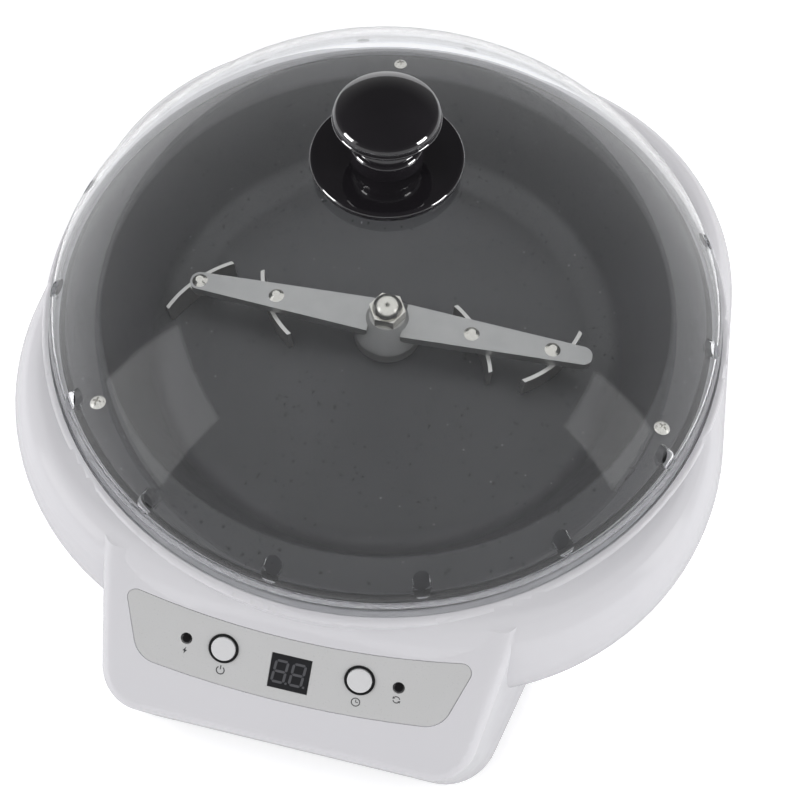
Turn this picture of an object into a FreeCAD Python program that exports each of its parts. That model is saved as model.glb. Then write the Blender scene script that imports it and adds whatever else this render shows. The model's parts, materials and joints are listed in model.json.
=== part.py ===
import FreeCAD, Part
import math
import os
from FreeCAD import Vector

# Home coffee bean roaster: a moulded housing with a round, flanged roasting pan, a stirrer
# driven from below, a clear lift-off dome with a black knob, and a sloping control console.
# Everything is modelled about the pan's axis, with z = 0 on the table, +X to the right and
# -Y towards the user. Lengths are in millimetres and angles in degrees.

# Heights above the table
FOOT_HEIGHT = 4.0
BULGE_HEIGHT = 50.0
SHOULDER_HEIGHT = 85.5
FLANGE_TOP = 88.0
DOME_TOP = 154.0

# Housing: a rounded square in plan, made round a square core
CORE_HALF = 33.0
BULGE_REACH = 105.0
SHOULDER_REACH = 86.0
BASE_REACH = 92.0
WALL = 2.6
RIM_WIDTH = 2.8
RIM_STAND = 0.8
RIM_DEPTH = 8.8

# Console: a drafted block whose top is the sloping control deck
DECK_SLOPE = 36.0
DECK_Y = -134.0
DECK_Z = 74.0
CONSOLE_BACK_Y = -100.0
CONSOLE_FRONT_Y = -163.5
CONSOLE_LEAN = 3.7
CONSOLE_BACK_HALF = 90.0
CONSOLE_FRONT_HALF = 71.6
CONSOLE_DRAFT = 16.3
CONSOLE_LOFT_HEIGHT = 86.0
CONSOLE_TOP = 84.0
CONSOLE_CORNER = 22.0
CONSOLE_CORNER_TOP = 12.0
DECK_EDGE_ROUND = 6.5
ARCH_HALF = 47.0
ARCH_HEIGHT = 4.5
ARCH_END = 3.0

# Roasting pan
FLANGE_RADIUS = 120.0
PAN_MOUTH_RADIUS = 107.5
PAN_FLOOR_RADIUS = 95.0
PAN_DEPTH = 42.0
PAN_SHEET = 1.5
PAN_FLOOR_ROUND = 14.0
CHIMNEY_RADIUS = 10.0
CHIMNEY_HEIGHT = 8.0
PAN_SCREW_CIRCLE = 114.0
PAN_SCREW_COUNT = 3
PAN_SCREW_PHASE = 100.0

# Seal ring and the gutter that the lid stands in
SEAL_HEIGHT = 4.0
SEAL_OUTER = 122.8
SEAL_INNER = 110.0

# Lid
LID_LIP_RADIUS = 126.6
LID_LIP_HEIGHT = 2.8
LID_WALL_RADIUS = 125.4
LID_WALL_HEIGHT = 10.2
LID_SHEET = 2.2
LID_SHOULDER_ROUND = 10.0
VENT_COUNT = 16
VENT_RADIUS = 3.0
VENT_PHASE = 18.0
VENT_LIFT = 10.0

# Knob
KNOB_DISC_RADIUS = 24.2
KNOB_DISC_THICKNESS = 3.0
KNOB_DISC_ROUND = 1.0
KNOB_NECK_RADIUS = 11.5
KNOB_NECK_HEIGHT = 5.0
KNOB_FLARE_HEIGHT = 3.0
KNOB_CAP_RADIUS = 16.1
KNOB_CAP_LIP = 1.5
KNOB_SKIRT_HEIGHT = 5.0
KNOB_SIDE_HEIGHT = 6.6
KNOB_CROWN_HEIGHT = 3.4
KNOB_ROUND = 1.2
KNOB_SCREW_RADIUS = 2.0
KNOB_SCREW_HEAD = 4.0
KNOB_SCREW_HEAD_HEIGHT = 2.6
WASHER_RADIUS = 8.0
WASHER_THICKNESS = 1.0

# Drive and stirrer
SHAFT_RADIUS = 4.0
SPINDLE_RADIUS = 3.5
COUPLING_RADIUS = 7.5
BUSH_FLANGE_RADIUS = 11.0
BUSH_FLANGE_THICKNESS = 2.2
SHAFT_JOIN_LIFT = 2.0
SHAFT_TIP = 6.0
SHAFT_CHAMFER = 1.0
COUPLING_LIFT = 1.5
HUB_RADIUS = 14.0
HUB_HEIGHT = 15.0
HUB_LIFT = 2.5
HUB_MOUTH_GAP = 1.0
HUB_ROOF_GAP = 2.0
HUB_ROUND = 2.0
ARM_REACH = 84.0
ARM_WIDTH = 12.0
ARM_TIP_WIDTH = 8.0
ARM_THICKNESS = 4.0
ARM_DROP = 2.0
ARM_COUNT = 2
BLADE_SHEET = 1.6
BLADE_LENGTH = 34.0
BLADE_RADII = (35.0, 68.0)
BLADE_ANGLE = 35.0
BLADE_CURVE = 40.0
BLADE_STAGGER = 12.0
BLADE_SIDESTEP = 4.0
BLADE_CLEARANCE = 0.8
RIVET_RADIUS = 1.6
RIVET_HEAD_HEIGHT = 1.2
NUT_ACROSS_FLATS = 13.0
NUT_HEIGHT = 5.0

# Heating, motor and the plates that carry them
HEATER_TUBE_RADIUS = 3.3
HEATER_RING_RADIUS = 62.0
HEATER_SPAN = 300.0
REFLECTOR_RADIUS = 98.0
REFLECTOR_SHEET = 0.8
REFLECTOR_HEIGHT = 34.0
REFLECTOR_RIM = 14.0
REFLECTOR_FLARE = 4.7
REFLECTOR_LIP = 3.0
REFLECTOR_HOLE_GAP = 3.0
REFLECTOR_POST_CIRCLE = 80.0
REFLECTOR_POST_COUNT = 3
BASE_PLATE_THICKNESS = 2.5
MOTOR_RADIUS = 24.5
MOTOR_HEIGHT = 21.0
MOTOR_LIFT = 2.3
MOTOR_EAR_REACH = 31.0
MOTOR_EAR_THICKNESS = 1.2
MOTOR_ROUND = 1.5
MOTOR_SEAM = 1.0
MOTOR_COLLAR_HEIGHT = 1.2

# Controls, placed on the deck by their distance across it and down its slope
BUTTON_ACROSS = 23.2
BUTTON_DOWN = 9.7
BUTTON_RADIUS = 4.15
BUTTON_PROUD = 0.9
BUTTON_TRAVEL = 1.0
BUTTON_ROUND = 0.5
BUTTON_FLANGE = 1.2
BUTTON_FLANGE_THICKNESS = 1.0
BUTTON_STEM_RADIUS = 2.0
RING_RADIUS = 5.6
RING_ROUND = 0.4
LAMP_ACROSS = 36.2
LAMP_DOWN = 9.2
LAMP_RADIUS = 1.9
LAMP_PROUD = 0.3
LAMP_TIP_ROUND = 0.8
WINDOW_WIDTH = 13.5
WINDOW_LENGTH = 12.1
WINDOW_DOWN = 13.1
WINDOW_THICKNESS = 1.5
WINDOW_PROUD = 0.1
MODULE_INSET = 0.8
OVERLAY_SHEET = 0.5
BOARD_DEPTH = 12.0
BOARD_THICKNESS = 1.6
BOARD_HALF_WIDTH = 50.0
BOARD_TOP_DOWN = -2.0
BOARD_BOTTOM_DOWN = 27.0
BOARD_POST_ACROSS = 45.0
BOARD_POST_DOWNS = (1.5, 22.0)
SWITCH_WIDTH = 6.0
SWITCH_HEIGHT = 3.4
PLUNGER_RADIUS = 1.7
PLUNGER_HEIGHT = 1.0
RELAY_SIZE = (19.0, 15.0, 14.0)
RELAY_PLACE = (-22.5, -10.5)
CAPACITOR_RADIUS = 5.0
CAPACITOR_LENGTH = 11.0
CAPACITOR_PLACE = (3.0, -10.0)
TERMINALS_SIZE = (22.0, 9.0, 10.0)
TERMINALS_PLACE = (27.0, -10.5)

# Printed panel on the deck
OVERLAY_TOP_HALF = 59.5
OVERLAY_TOP_MIDDLE = -1.4
OVERLAY_TOP_END = 4.8
OVERLAY_BOTTOM_HALF = 52.0
OVERLAY_BOTTOM_MIDDLE = 23.4
OVERLAY_BOTTOM_END = 19.6
OVERLAY_TOP_ROUND = 3.0
OVERLAY_LOW_ROUND = 9.0

# Screws, bosses, posts and feet
PAN_SCREW_RADIUS = 1.5
PAN_SCREW_HEAD = 2.8
PAN_SCREW_HEAD_HEIGHT = 1.9
PAN_SCREW_LENGTH = 14.0
SCREW_END_GAP = 1.0
PAN_BOSS_RADIUS = 4.5
PAN_BOSS_LENGTH = 13.0
BASE_SCREW_RADIUS = 1.8
BASE_SCREW_HEAD = 3.4
BASE_SCREW_HEAD_HEIGHT = 2.0
BASE_SCREW_LENGTH = 12.0
BASE_SCREW_INSET = 8.0
BASE_BOSS_RADIUS = 5.0
BASE_BOSS_LENGTH = 16.0
SMALL_SCREW_RADIUS = 1.3
SMALL_SCREW_HEAD = 2.5
SMALL_SCREW_HEAD_HEIGHT = 1.6
SMALL_SCREW_LENGTH = 8.0
MOTOR_BOSS_RADIUS = 4.5
POST_RADIUS = 4.0
POST_PHASE = 40.0
BOARD_POST_RADIUS = 3.0
BOARD_SCREW_RADIUS = 1.1
BOARD_SCREW_HEAD = 2.0
BOARD_SCREW_HEAD_HEIGHT = 1.4
BOARD_SCREW_BITE = 6.0
SLOT_START = 42.0
SLOT_END = 68.0
SLOT_WIDTH = 3.2
SLOT_COUNT = 18
FOOT_RADIUS = 8.0
FOOT_BEVEL = 1.2
FOOT_ACROSS_FRONT = 52.0
FOOT_Y_FRONT = -146.0
FOOT_ACROSS_BACK = 75.0
FOOT_Y_BACK = 95.0
HEATER_BEND = 9.0
HEATER_DROP = 6.0
CLAMP_SHEET = 0.8
CLAMP_WIDTH = 8.0
CLAMP_EAR = 6.0
CLAMP_COUNT = 3
THERMOSTAT_RADIUS = 8.0
THERMOSTAT_HEIGHT = 8.0
THERMOSTAT_PLACE = 36.0
TAB_REACH = 13.0
TAB_HEIGHT = 4.0
TAB_SHEET = 0.8
GLAND_HEIGHT = 15.0
GLAND_PAD_RADIUS = 9.5
GLAND_PAD_DEPTH = 10.0
GLAND_BARREL_RADIUS = 5.5
GLAND_BORE_RADIUS = 3.6
GLAND_FLANGE_RADIUS = 7.5
GLAND_FLANGE_THICKNESS = 2.5
GLAND_TAIL = 4.0

# Clearances
SLIDE_GAP = 0.3
SHAFT_GAP = 0.05
SEAT_GAP = 0.3
PLATE_GAP = 0.3
FIT_GAP = 0.1

# Sizes that follow from the driving ones
PAN_FLOOR = FLANGE_TOP - PAN_DEPTH
PAN_UNDERSIDE = PAN_FLOOR - PAN_SHEET
CHIMNEY_TOP = PAN_FLOOR + CHIMNEY_HEIGHT
UNDER_FLANGE = FLANGE_TOP - PAN_SHEET
GUTTER_FLOOR = UNDER_FLANGE - SEAL_HEIGHT
LID_BOTTOM = GUTTER_FLOOR + SEAT_GAP
RIM_INNER = LID_LIP_RADIUS + 2 * SLIDE_GAP
RIM_TOP = SHOULDER_HEIGHT + RIM_STAND
BASE_PLATE_TOP = FOOT_HEIGHT + BASE_PLATE_THICKNESS
MOTOR_BOTTOM = BASE_PLATE_TOP + MOTOR_LIFT
MOTOR_TOP = MOTOR_BOTTOM + MOTOR_HEIGHT
BUSH_BOTTOM = PAN_UNDERSIDE - BUSH_FLANGE_THICKNESS
BUSH_TOP = CHIMNEY_TOP + SEAT_GAP
HUB_BOTTOM = PAN_FLOOR + HUB_LIFT
HUB_TOP = HUB_BOTTOM + HUB_HEIGHT
ARM_BOTTOM = HUB_TOP - ARM_THICKNESS - ARM_DROP
LID_WALL_TOP = LID_BOTTOM + LID_WALL_HEIGHT
KNOB_BOTTOM = DOME_TOP + KNOB_DISC_THICKNESS
KNOB_FLARE_TOP = KNOB_BOTTOM + KNOB_NECK_HEIGHT + KNOB_FLARE_HEIGHT
KNOB_SIDE_TOP = KNOB_FLARE_TOP + KNOB_SKIRT_HEIGHT + KNOB_SIDE_HEIGHT
KNOB_TOP = KNOB_SIDE_TOP + KNOB_CROWN_HEIGHT
SHAFT_JOIN = REFLECTOR_HEIGHT + SHAFT_JOIN_LIFT
BUTTON_FLANGE_TOP = -WALL - SEAT_GAP
BASE_SCREW_REACH = BASE_REACH - BASE_SCREW_INSET
BLADE_TOP = ARM_BOTTOM - SEAT_GAP / 3
BOARD_UNDERSIDE = -BOARD_DEPTH - BOARD_THICKNESS
Y_AXIS = Vector(0, 1, 0)


def tube(outer, inner, bottom, top, x=0.0, y=0.0):
    """Upright ring, or a plain disc where the inner radius is 0."""
    ring = Part.makeCylinder(outer, top - bottom, Vector(x, y, bottom))
    if inner > 0:
        ring = ring.cut(Part.makeCylinder(inner, top - bottom, Vector(x, y, bottom)))
    return ring


def turned(*points):
    """Solid of revolution about the z axis from a closed outline of (radius, height) points."""
    corners = [Vector(radius, 0, height) for radius, height in points]
    face = Part.Face(Part.makePolygon(corners + corners[:1]))
    return face.revolve(Vector(0, 0, 0), Vector(0, 0, 1), 360)


def swept_round(edges):
    """Solid of revolution about the z axis from the edges of a closed section."""
    return Part.Face(Part.Wire(edges)).revolve(Vector(0, 0, 0), Vector(0, 0, 1), 360)


def block_on_deck(size, place, bottom):
    """Box on the deck's frame, centred on a place across and up the slope."""
    width, length, height = size
    corner = Vector(place[0] - width / 2, place[1] - length / 2, bottom)
    return on_deck(Part.makeBox(width, length, height, corner))


def rings_rounded(solid, radius, *rings):
    """Round the circular edges about the z axis at the given (radius, height) places."""
    found = []
    for edge in solid.Edges:
        if edge.Degenerated or not isinstance(edge.Curve, Part.Circle):
            continue
        centre = edge.Curve.Center
        for ring_radius, height in rings:
            same_size = abs(edge.Curve.Radius - ring_radius) < 0.01
            if same_size and abs(centre.z - height) < 0.01 and math.hypot(centre.x, centre.y) < 0.01:
                found.append(edge)
    return solid.makeFillet(radius, found)


def polar(radius, angle, height=0.0):
    """Point at a radius and an angle about the pan's axis."""
    turn = math.radians(angle)
    return Vector(radius * math.cos(turn), radius * math.sin(turn), height)


def spread(shape, count, phase=0.0):
    """Copies of a shape, evenly turned about the z axis."""
    copies = []
    for index in range(count):
        copy = shape.copy()
        copy.rotate(Vector(0, 0, 0), Vector(0, 0, 1), phase + 360.0 * index / count)
        copies.append(copy)
    return copies


def rounded_outline(corners, radii, height=0.0):
    """Closed wire through (x, y) corners, each rounded by its own radius."""
    points = [Vector(x, y, height) for x, y in corners]
    runs = []
    for index, here in enumerate(points):
        to_last = (points[index - 1] - here).normalize()
        to_next = (points[(index + 1) % len(points)] - here).normalize()
        half_angle = to_last.getAngle(to_next) / 2
        radius = radii[index]
        reach = radius / math.tan(half_angle)
        depth = radius / math.sin(half_angle) - radius
        middle = here + (to_last + to_next).normalize() * depth
        runs.append((here + to_last * reach, middle, here + to_next * reach))
    edges = []
    for index, (start, middle, end) in enumerate(runs):
        if radii[index] > 0:
            edges.append(Part.Arc(start, middle, end).toShape())
        following = runs[(index + 1) % len(runs)][0]
        edges.append(Part.LineSegment(end, following).toShape())
    return Part.Wire(edges)


def plate(outline, thickness):
    """Solid from a flat outline, raised along +Z."""
    return Part.Face(outline).extrude(Vector(0, 0, thickness))


def on_deck(shape):
    """Move a shape from the deck's own frame, x across, y up the slope, z outwards."""
    placed = shape.copy()
    placed.rotate(Vector(0, 0, 0), Vector(1, 0, 0), DECK_SLOPE)
    placed.translate(Vector(0, DECK_Y, DECK_Z))
    return placed


def panhead_screw(head_radius, head_height, shank_radius, length):
    """Screw pointing down, with the underside of its head at z = 0."""
    head = turned((0, 0), (head_radius, 0), (head_radius, head_height), (0, head_height))
    head = rings_rounded(head, head_height * 0.6, (head_radius, head_height))
    shank = Part.makeCylinder(shank_radius, length, Vector(0, 0, -length))
    return head.fuse(shank)


def lower_arc_radius():
    """Radius of the arc that draws the housing in from its bulge to its base."""
    run = BULGE_REACH - BASE_REACH
    drop = BULGE_HEIGHT - FOOT_HEIGHT
    return (run * run + drop * drop) / (2 * run)


def body_reach(height, inset=0.0):
    """Distance from the core to the housing's lower wall at a height under the bulge."""
    radius = lower_arc_radius()
    drop = BULGE_HEIGHT - height
    return BULGE_REACH - radius + math.sqrt((radius - inset) ** 2 - drop * drop)


def body_profile(inset):
    """Half section of the housing round its core: elliptic shoulder over a drawn-in base."""
    centre = Vector(SHOULDER_REACH, 0, BULGE_HEIGHT)
    top = Vector(SHOULDER_REACH, 0, SHOULDER_HEIGHT - inset)
    widest = Vector(BULGE_REACH - inset, 0, BULGE_HEIGHT)
    shoulder = Part.Ellipse(top, widest, centre)
    half_drop = (BULGE_HEIGHT + FOOT_HEIGHT) / 2
    middle = Vector(body_reach(half_drop, inset), 0, half_drop)
    base = Vector(body_reach(FOOT_HEIGHT, inset), 0, FOOT_HEIGHT)
    edges = [
        Part.LineSegment(Vector(0, 0, SHOULDER_HEIGHT - inset), top).toShape(),
        Part.ArcOfEllipse(shoulder, 0, math.pi / 2).toShape(),
        Part.Arc(widest, middle, base).toShape(),
        Part.LineSegment(base, Vector(0, 0, FOOT_HEIGHT)).toShape(),
        Part.LineSegment(Vector(0, 0, FOOT_HEIGHT), Vector(0, 0, SHOULDER_HEIGHT - inset)).toShape(),
    ]
    return Part.Face(Part.Wire(edges))


def body_form(inset=0.0):
    """Rounded-square bowl: the section turned at each corner of the core and drawn along each side."""
    section = body_profile(inset)
    corner = section.revolve(Vector(0, 0, 0), Vector(0, 0, 1), 90)
    corner.translate(Vector(CORE_HALF, CORE_HALF, 0))
    side = section.extrude(Vector(0, 2 * CORE_HALF, 0))
    side.translate(Vector(CORE_HALF, -CORE_HALF, 0))
    height = SHOULDER_HEIGHT - inset - FOOT_HEIGHT
    core = Part.makeBox(2 * CORE_HALF, 2 * CORE_HALF, height, Vector(-CORE_HALF, -CORE_HALF, FOOT_HEIGHT))
    return core.fuse(spread(corner, 4) + spread(side, 4)).removeSplitter()


def console_outline(height, inset):
    """Plan of the console at a height: a trapezoid with rounded front corners."""
    share = (height - FOOT_HEIGHT) / CONSOLE_LOFT_HEIGHT
    narrowing = CONSOLE_DRAFT * share + inset
    front = CONSOLE_FRONT_Y - CONSOLE_LEAN * share + inset
    back_half = CONSOLE_BACK_HALF - narrowing
    front_half = CONSOLE_FRONT_HALF - narrowing
    corner = CONSOLE_CORNER + (CONSOLE_CORNER_TOP - CONSOLE_CORNER) * share - inset
    corners = [(-back_half, CONSOLE_BACK_Y), (-front_half, front)]
    corners += [(front_half, front), (back_half, CONSOLE_BACK_Y)]
    return rounded_outline(corners, [0, corner, corner, 0], height)


def console_form(inset=0.0):
    """Console block, cut off along the deck and rounded along the deck's edge."""
    top = FOOT_HEIGHT + CONSOLE_LOFT_HEIGHT
    block = Part.makeLoft([console_outline(FOOT_HEIGHT, inset), console_outline(top, inset)], True, True)
    span = 4 * CONSOLE_BACK_HALF
    above = Part.makeBox(span, span, span, Vector(-span / 2, -span / 2, -inset))
    block = block.cut(on_deck(above))
    normal = on_deck(Part.Vertex(0, 0, 1)).Point - Vector(0, DECK_Y, DECK_Z)
    rim = []
    for edge in block.Edges:
        heights = [(vertex.Point - Vector(0, DECK_Y, DECK_Z)).dot(normal) for vertex in edge.Vertexes]
        in_deck = all(abs(height + inset) < 0.01 for height in heights)
        if in_deck and edge.CenterOfMass.y < CONSOLE_BACK_Y - 1:
            rim.append(edge)
    block = block.makeFillet(DECK_EDGE_ROUND - inset, rim)
    return block.common(Part.makeBox(span, span, CONSOLE_TOP - inset, Vector(-span / 2, -span / 2, 0)))


def overlay_form(gap, bottom, top):
    """Control panel's outline as a solid: bowed top and bottom edges, leaning sides, rounded corners."""
    upper = [(-1, OVERLAY_TOP_END), (0, OVERLAY_TOP_MIDDLE), (1, OVERLAY_TOP_END)]
    upper = [Vector(side * (OVERLAY_TOP_HALF + gap), y + gap, bottom) for side, y in upper]
    lower = [(1, OVERLAY_BOTTOM_END), (0, OVERLAY_BOTTOM_MIDDLE), (-1, OVERLAY_BOTTOM_END)]
    lower = [Vector(side * (OVERLAY_BOTTOM_HALF + gap), -y - gap, bottom) for side, y in lower]
    edges = [
        Part.Arc(*upper).toShape(),
        Part.LineSegment(upper[2], lower[0]).toShape(),
        Part.Arc(*lower).toShape(),
        Part.LineSegment(lower[2], upper[0]).toShape(),
    ]
    solid = Part.Face(Part.Wire(edges)).extrude(Vector(0, 0, top - bottom))
    for radius, ends in ((OVERLAY_LOW_ROUND, lower), (OVERLAY_TOP_ROUND, upper)):
        uprights = []
        for edge in solid.Edges:
            for corner in (ends[0], ends[2]):
                away = [math.hypot(v.Point.x - corner.x, v.Point.y - corner.y) for v in edge.Vertexes]
                if len(away) == 2 and max(away) < 0.001:
                    uprights.append(edge)
        solid = solid.makeFillet(radius + gap, uprights)
    return solid


def deck_hole(radius, across, down):
    """Cutter right through the deck's wall at a control's place."""
    return Part.makeCylinder(radius, 4 * WALL, Vector(across, -down, -3 * WALL))


def window_form(gap, bottom, top):
    """Block of the display window's outline."""
    width = WINDOW_WIDTH + 2 * gap
    length = WINDOW_LENGTH + 2 * gap
    corner = Vector(-width / 2, -WINDOW_DOWN - length / 2, bottom)
    return Part.makeBox(width, length, top - bottom, corner)


def base_screw_places():
    """The four screws lie on the core's diagonals, inside the base plate's edge."""
    offset = CORE_HALF + BASE_SCREW_REACH / math.sqrt(2)
    return [(x * offset, y * offset) for x in (-1, 1) for y in (-1, 1)]


def housing():
    """Moulded shell: bowl and console in one, with the rim, the gutter and the bosses inside."""
    outer = body_form().fuse(console_form()).removeSplitter()
    inner = body_form(WALL).fuse(console_form(WALL))
    shell = outer.cut(inner)
    shell = shell.cut(Part.makeCylinder(RIM_INNER, SHOULDER_HEIGHT, Vector(0, 0, GUTTER_FLOOR - WALL)))
    rim = turned(
        (SEAL_INNER, GUTTER_FLOOR - WALL), (RIM_INNER + RIM_WIDTH, GUTTER_FLOOR - WALL),
        (RIM_INNER + RIM_WIDTH, RIM_TOP), (RIM_INNER, RIM_TOP),
        (RIM_INNER, GUTTER_FLOOR), (SEAL_INNER, GUTTER_FLOOR))
    rim = rings_rounded(rim, RIM_WIDTH * 0.7, (RIM_INNER + RIM_WIDTH, RIM_TOP))
    rim = rim.fuse(tube(RIM_INNER + RIM_WIDTH, RIM_INNER, RIM_TOP - RIM_DEPTH, GUTTER_FLOOR))
    bosses = []
    for angle in pan_screw_angles():
        place = polar(PAN_SCREW_CIRCLE, angle)
        foot = GUTTER_FLOOR - PAN_BOSS_LENGTH
        bosses.append(tube(PAN_BOSS_RADIUS, 0, foot, GUTTER_FLOOR, place.x, place.y))
    for x, y in base_screw_places():
        bosses.append(tube(BASE_BOSS_RADIUS, 0, BASE_PLATE_TOP, BASE_PLATE_TOP + BASE_BOSS_LENGTH, x, y))
        corner = Vector(0, -WALL / 2, BASE_PLATE_TOP)
        web = Part.makeBox(2 * BASE_SCREW_INSET, WALL, BASE_BOSS_LENGTH, corner)
        web.rotate(Vector(0, 0, 0), Vector(0, 0, 1), math.degrees(math.atan2(y, x)))
        web.translate(Vector(x, y, 0))
        bosses.append(web.common(outer))
    for across in (-BOARD_POST_ACROSS, BOARD_POST_ACROSS):
        for down in BOARD_POST_DOWNS:
            length = BOARD_DEPTH - WALL / 2
            post = Part.makeCylinder(BOARD_POST_RADIUS, length, Vector(across, -down, -BOARD_DEPTH))
            bosses.append(on_deck(post))
    pad_place = Vector(0, gland_face() - GLAND_PAD_DEPTH, GLAND_HEIGHT)
    pad = Part.makeCylinder(GLAND_PAD_RADIUS, GLAND_PAD_DEPTH, pad_place, Y_AXIS)
    shell = shell.fuse([rim, pad] + bosses)
    return shell.cut(housing_openings())


def housing_openings():
    """Everything cut out of the housing: screw holes, controls, gland and the front arch."""
    cuts = []
    for angle in pan_screw_angles():
        place = polar(PAN_SCREW_CIRCLE, angle)
        depth = PAN_SCREW_LENGTH + FIT_GAP
        cuts.append(tube(PAN_SCREW_RADIUS + FIT_GAP, 0, FLANGE_TOP - depth, FLANGE_TOP, place.x, place.y))
    for x, y in base_screw_places():
        depth = BASE_SCREW_LENGTH + SCREW_END_GAP
        cuts.append(tube(BASE_SCREW_RADIUS + FIT_GAP, 0, FOOT_HEIGHT, FOOT_HEIGHT + depth, x, y))
    for side in (-1, 1):
        cuts.append(on_deck(deck_hole(BUTTON_RADIUS + SLIDE_GAP, side * BUTTON_ACROSS, BUTTON_DOWN)))
        cuts.append(on_deck(deck_hole(LAMP_RADIUS + FIT_GAP, side * LAMP_ACROSS, LAMP_DOWN)))
        for down in BOARD_POST_DOWNS:
            place = Vector(side * BOARD_POST_ACROSS, -down, -BOARD_DEPTH)
            cuts.append(on_deck(Part.makeCylinder(BOARD_SCREW_RADIUS + FIT_GAP, BOARD_SCREW_BITE, place)))
    cuts.append(on_deck(overlay_form(PLATE_GAP, -OVERLAY_SHEET, 4 * OVERLAY_SHEET)))
    cuts.append(on_deck(window_form(PLATE_GAP, -3 * WALL, 0)))
    gland_start = Vector(0, gland_face() - 2 * GLAND_PAD_DEPTH, GLAND_HEIGHT)
    cuts.append(Part.makeCylinder(GLAND_BARREL_RADIUS + FIT_GAP, 3 * GLAND_PAD_DEPTH, gland_start, Y_AXIS))
    low = FOOT_HEIGHT - ARCH_HEIGHT
    high = FOOT_HEIGHT + ARCH_HEIGHT
    wide = ARCH_HALF + ARCH_END
    corners = [(-wide, low), (wide, low), (ARCH_HALF, high), (-ARCH_HALF, high)]
    arch = plate(rounded_outline(corners, [0, 0, ARCH_END, ARCH_END]), CONSOLE_CORNER)
    arch.rotate(Vector(0, 0, 0), Vector(1, 0, 0), 90)
    arch.translate(Vector(0, CONSOLE_FRONT_Y + CONSOLE_CORNER - 2 * WALL, 0))
    cuts.append(arch)
    return cuts


def gland_face():
    """How far back the pad for the supply lead's bush stands: level with the wall at the pad's top."""
    return CORE_HALF + body_reach(GLAND_HEIGHT + GLAND_PAD_RADIUS)


def pan_screw_angles():
    return [PAN_SCREW_PHASE + 360.0 * index / PAN_SCREW_COUNT for index in range(PAN_SCREW_COUNT)]


def foot_places():
    return [(-FOOT_ACROSS_FRONT, FOOT_Y_FRONT), (FOOT_ACROSS_FRONT, FOOT_Y_FRONT),
            (-FOOT_ACROSS_BACK, FOOT_Y_BACK), (FOOT_ACROSS_BACK, FOOT_Y_BACK)]


def motor_screw_places():
    return [(-MOTOR_EAR_REACH, 0.0), (MOTOR_EAR_REACH, 0.0)]


def base_plate():
    """Floor of the housing, with motor bosses, reflector posts and a ring of vent slots."""
    inset = WALL + PLATE_GAP
    form = body_form(inset).fuse(console_form(inset))
    span = 4 * CONSOLE_BACK_HALF
    slab = Part.makeBox(span, span, BASE_PLATE_THICKNESS, Vector(-span / 2, -span / 2, FOOT_HEIGHT))
    floor = form.common(slab)
    raised = []
    for x, y in motor_screw_places():
        raised.append(tube(MOTOR_BOSS_RADIUS, 0, FOOT_HEIGHT, MOTOR_TOP - MOTOR_EAR_THICKNESS, x, y))
    post = tube(POST_RADIUS, 0, FOOT_HEIGHT, REFLECTOR_HEIGHT, REFLECTOR_POST_CIRCLE, 0)
    raised += spread(post, REFLECTOR_POST_COUNT, POST_PHASE)
    cup = tube(MOTOR_RADIUS + 2 * WALL, MOTOR_RADIUS + WALL, FOOT_HEIGHT, BASE_PLATE_TOP + MOTOR_LIFT)
    floor = floor.fuse(raised + [cup]).removeSplitter()
    cuts = [tube(BASE_SCREW_RADIUS + FIT_GAP, 0, 0, 2 * FOOT_HEIGHT, x, y) for x, y in base_screw_places()]
    for x, y in motor_screw_places():
        depth = SMALL_SCREW_LENGTH + SCREW_END_GAP
        cuts.append(tube(SMALL_SCREW_RADIUS + FIT_GAP, 0, MOTOR_TOP - depth, MOTOR_TOP, x, y))
    bottom = REFLECTOR_HEIGHT - SMALL_SCREW_LENGTH
    hole = tube(SMALL_SCREW_RADIUS + FIT_GAP, 0, bottom, REFLECTOR_HEIGHT, REFLECTOR_POST_CIRCLE, 0)
    cuts += spread(hole, REFLECTOR_POST_COUNT, POST_PHASE)
    half = SLOT_WIDTH / 2
    corners = [(SLOT_START, -half), (SLOT_END, -half), (SLOT_END, half), (SLOT_START, half)]
    slot = plate(rounded_outline(corners, [half * 0.9] * 4), 2 * FOOT_HEIGHT)
    cuts += spread(slot, SLOT_COUNT, 180.0 / SLOT_COUNT)
    return floor.cut(cuts)


def base_screws():
    screws = []
    for x, y in base_screw_places():
        screw = panhead_screw(BASE_SCREW_HEAD, BASE_SCREW_HEAD_HEIGHT, BASE_SCREW_RADIUS, BASE_SCREW_LENGTH)
        screw.rotate(Vector(0, 0, 0), Vector(1, 0, 0), 180)
        screw.translate(Vector(x, y, FOOT_HEIGHT))
        screws.append(screw)
    return screws


def rubber_feet():
    """Turned pads with a worn-in bevel, seated under the base plate."""
    feet = []
    for x, y in foot_places():
        foot = turned(
            (0, 0), (FOOT_RADIUS - FOOT_BEVEL, 0), (FOOT_RADIUS, FOOT_HEIGHT / 2),
            (FOOT_RADIUS, FOOT_HEIGHT), (0, FOOT_HEIGHT))
        foot.translate(Vector(x, y, 0))
        feet.append(foot)
    return feet


def pan_radius(height, offset=0.0):
    """Radius of the pan's sloping wall at a height, on its inner face or a sheet further out."""
    lean = (PAN_MOUTH_RADIUS - PAN_FLOOR_RADIUS) / PAN_DEPTH
    return PAN_MOUTH_RADIUS - (FLANGE_TOP - height) * lean + offset * math.hypot(1, lean)


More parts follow.
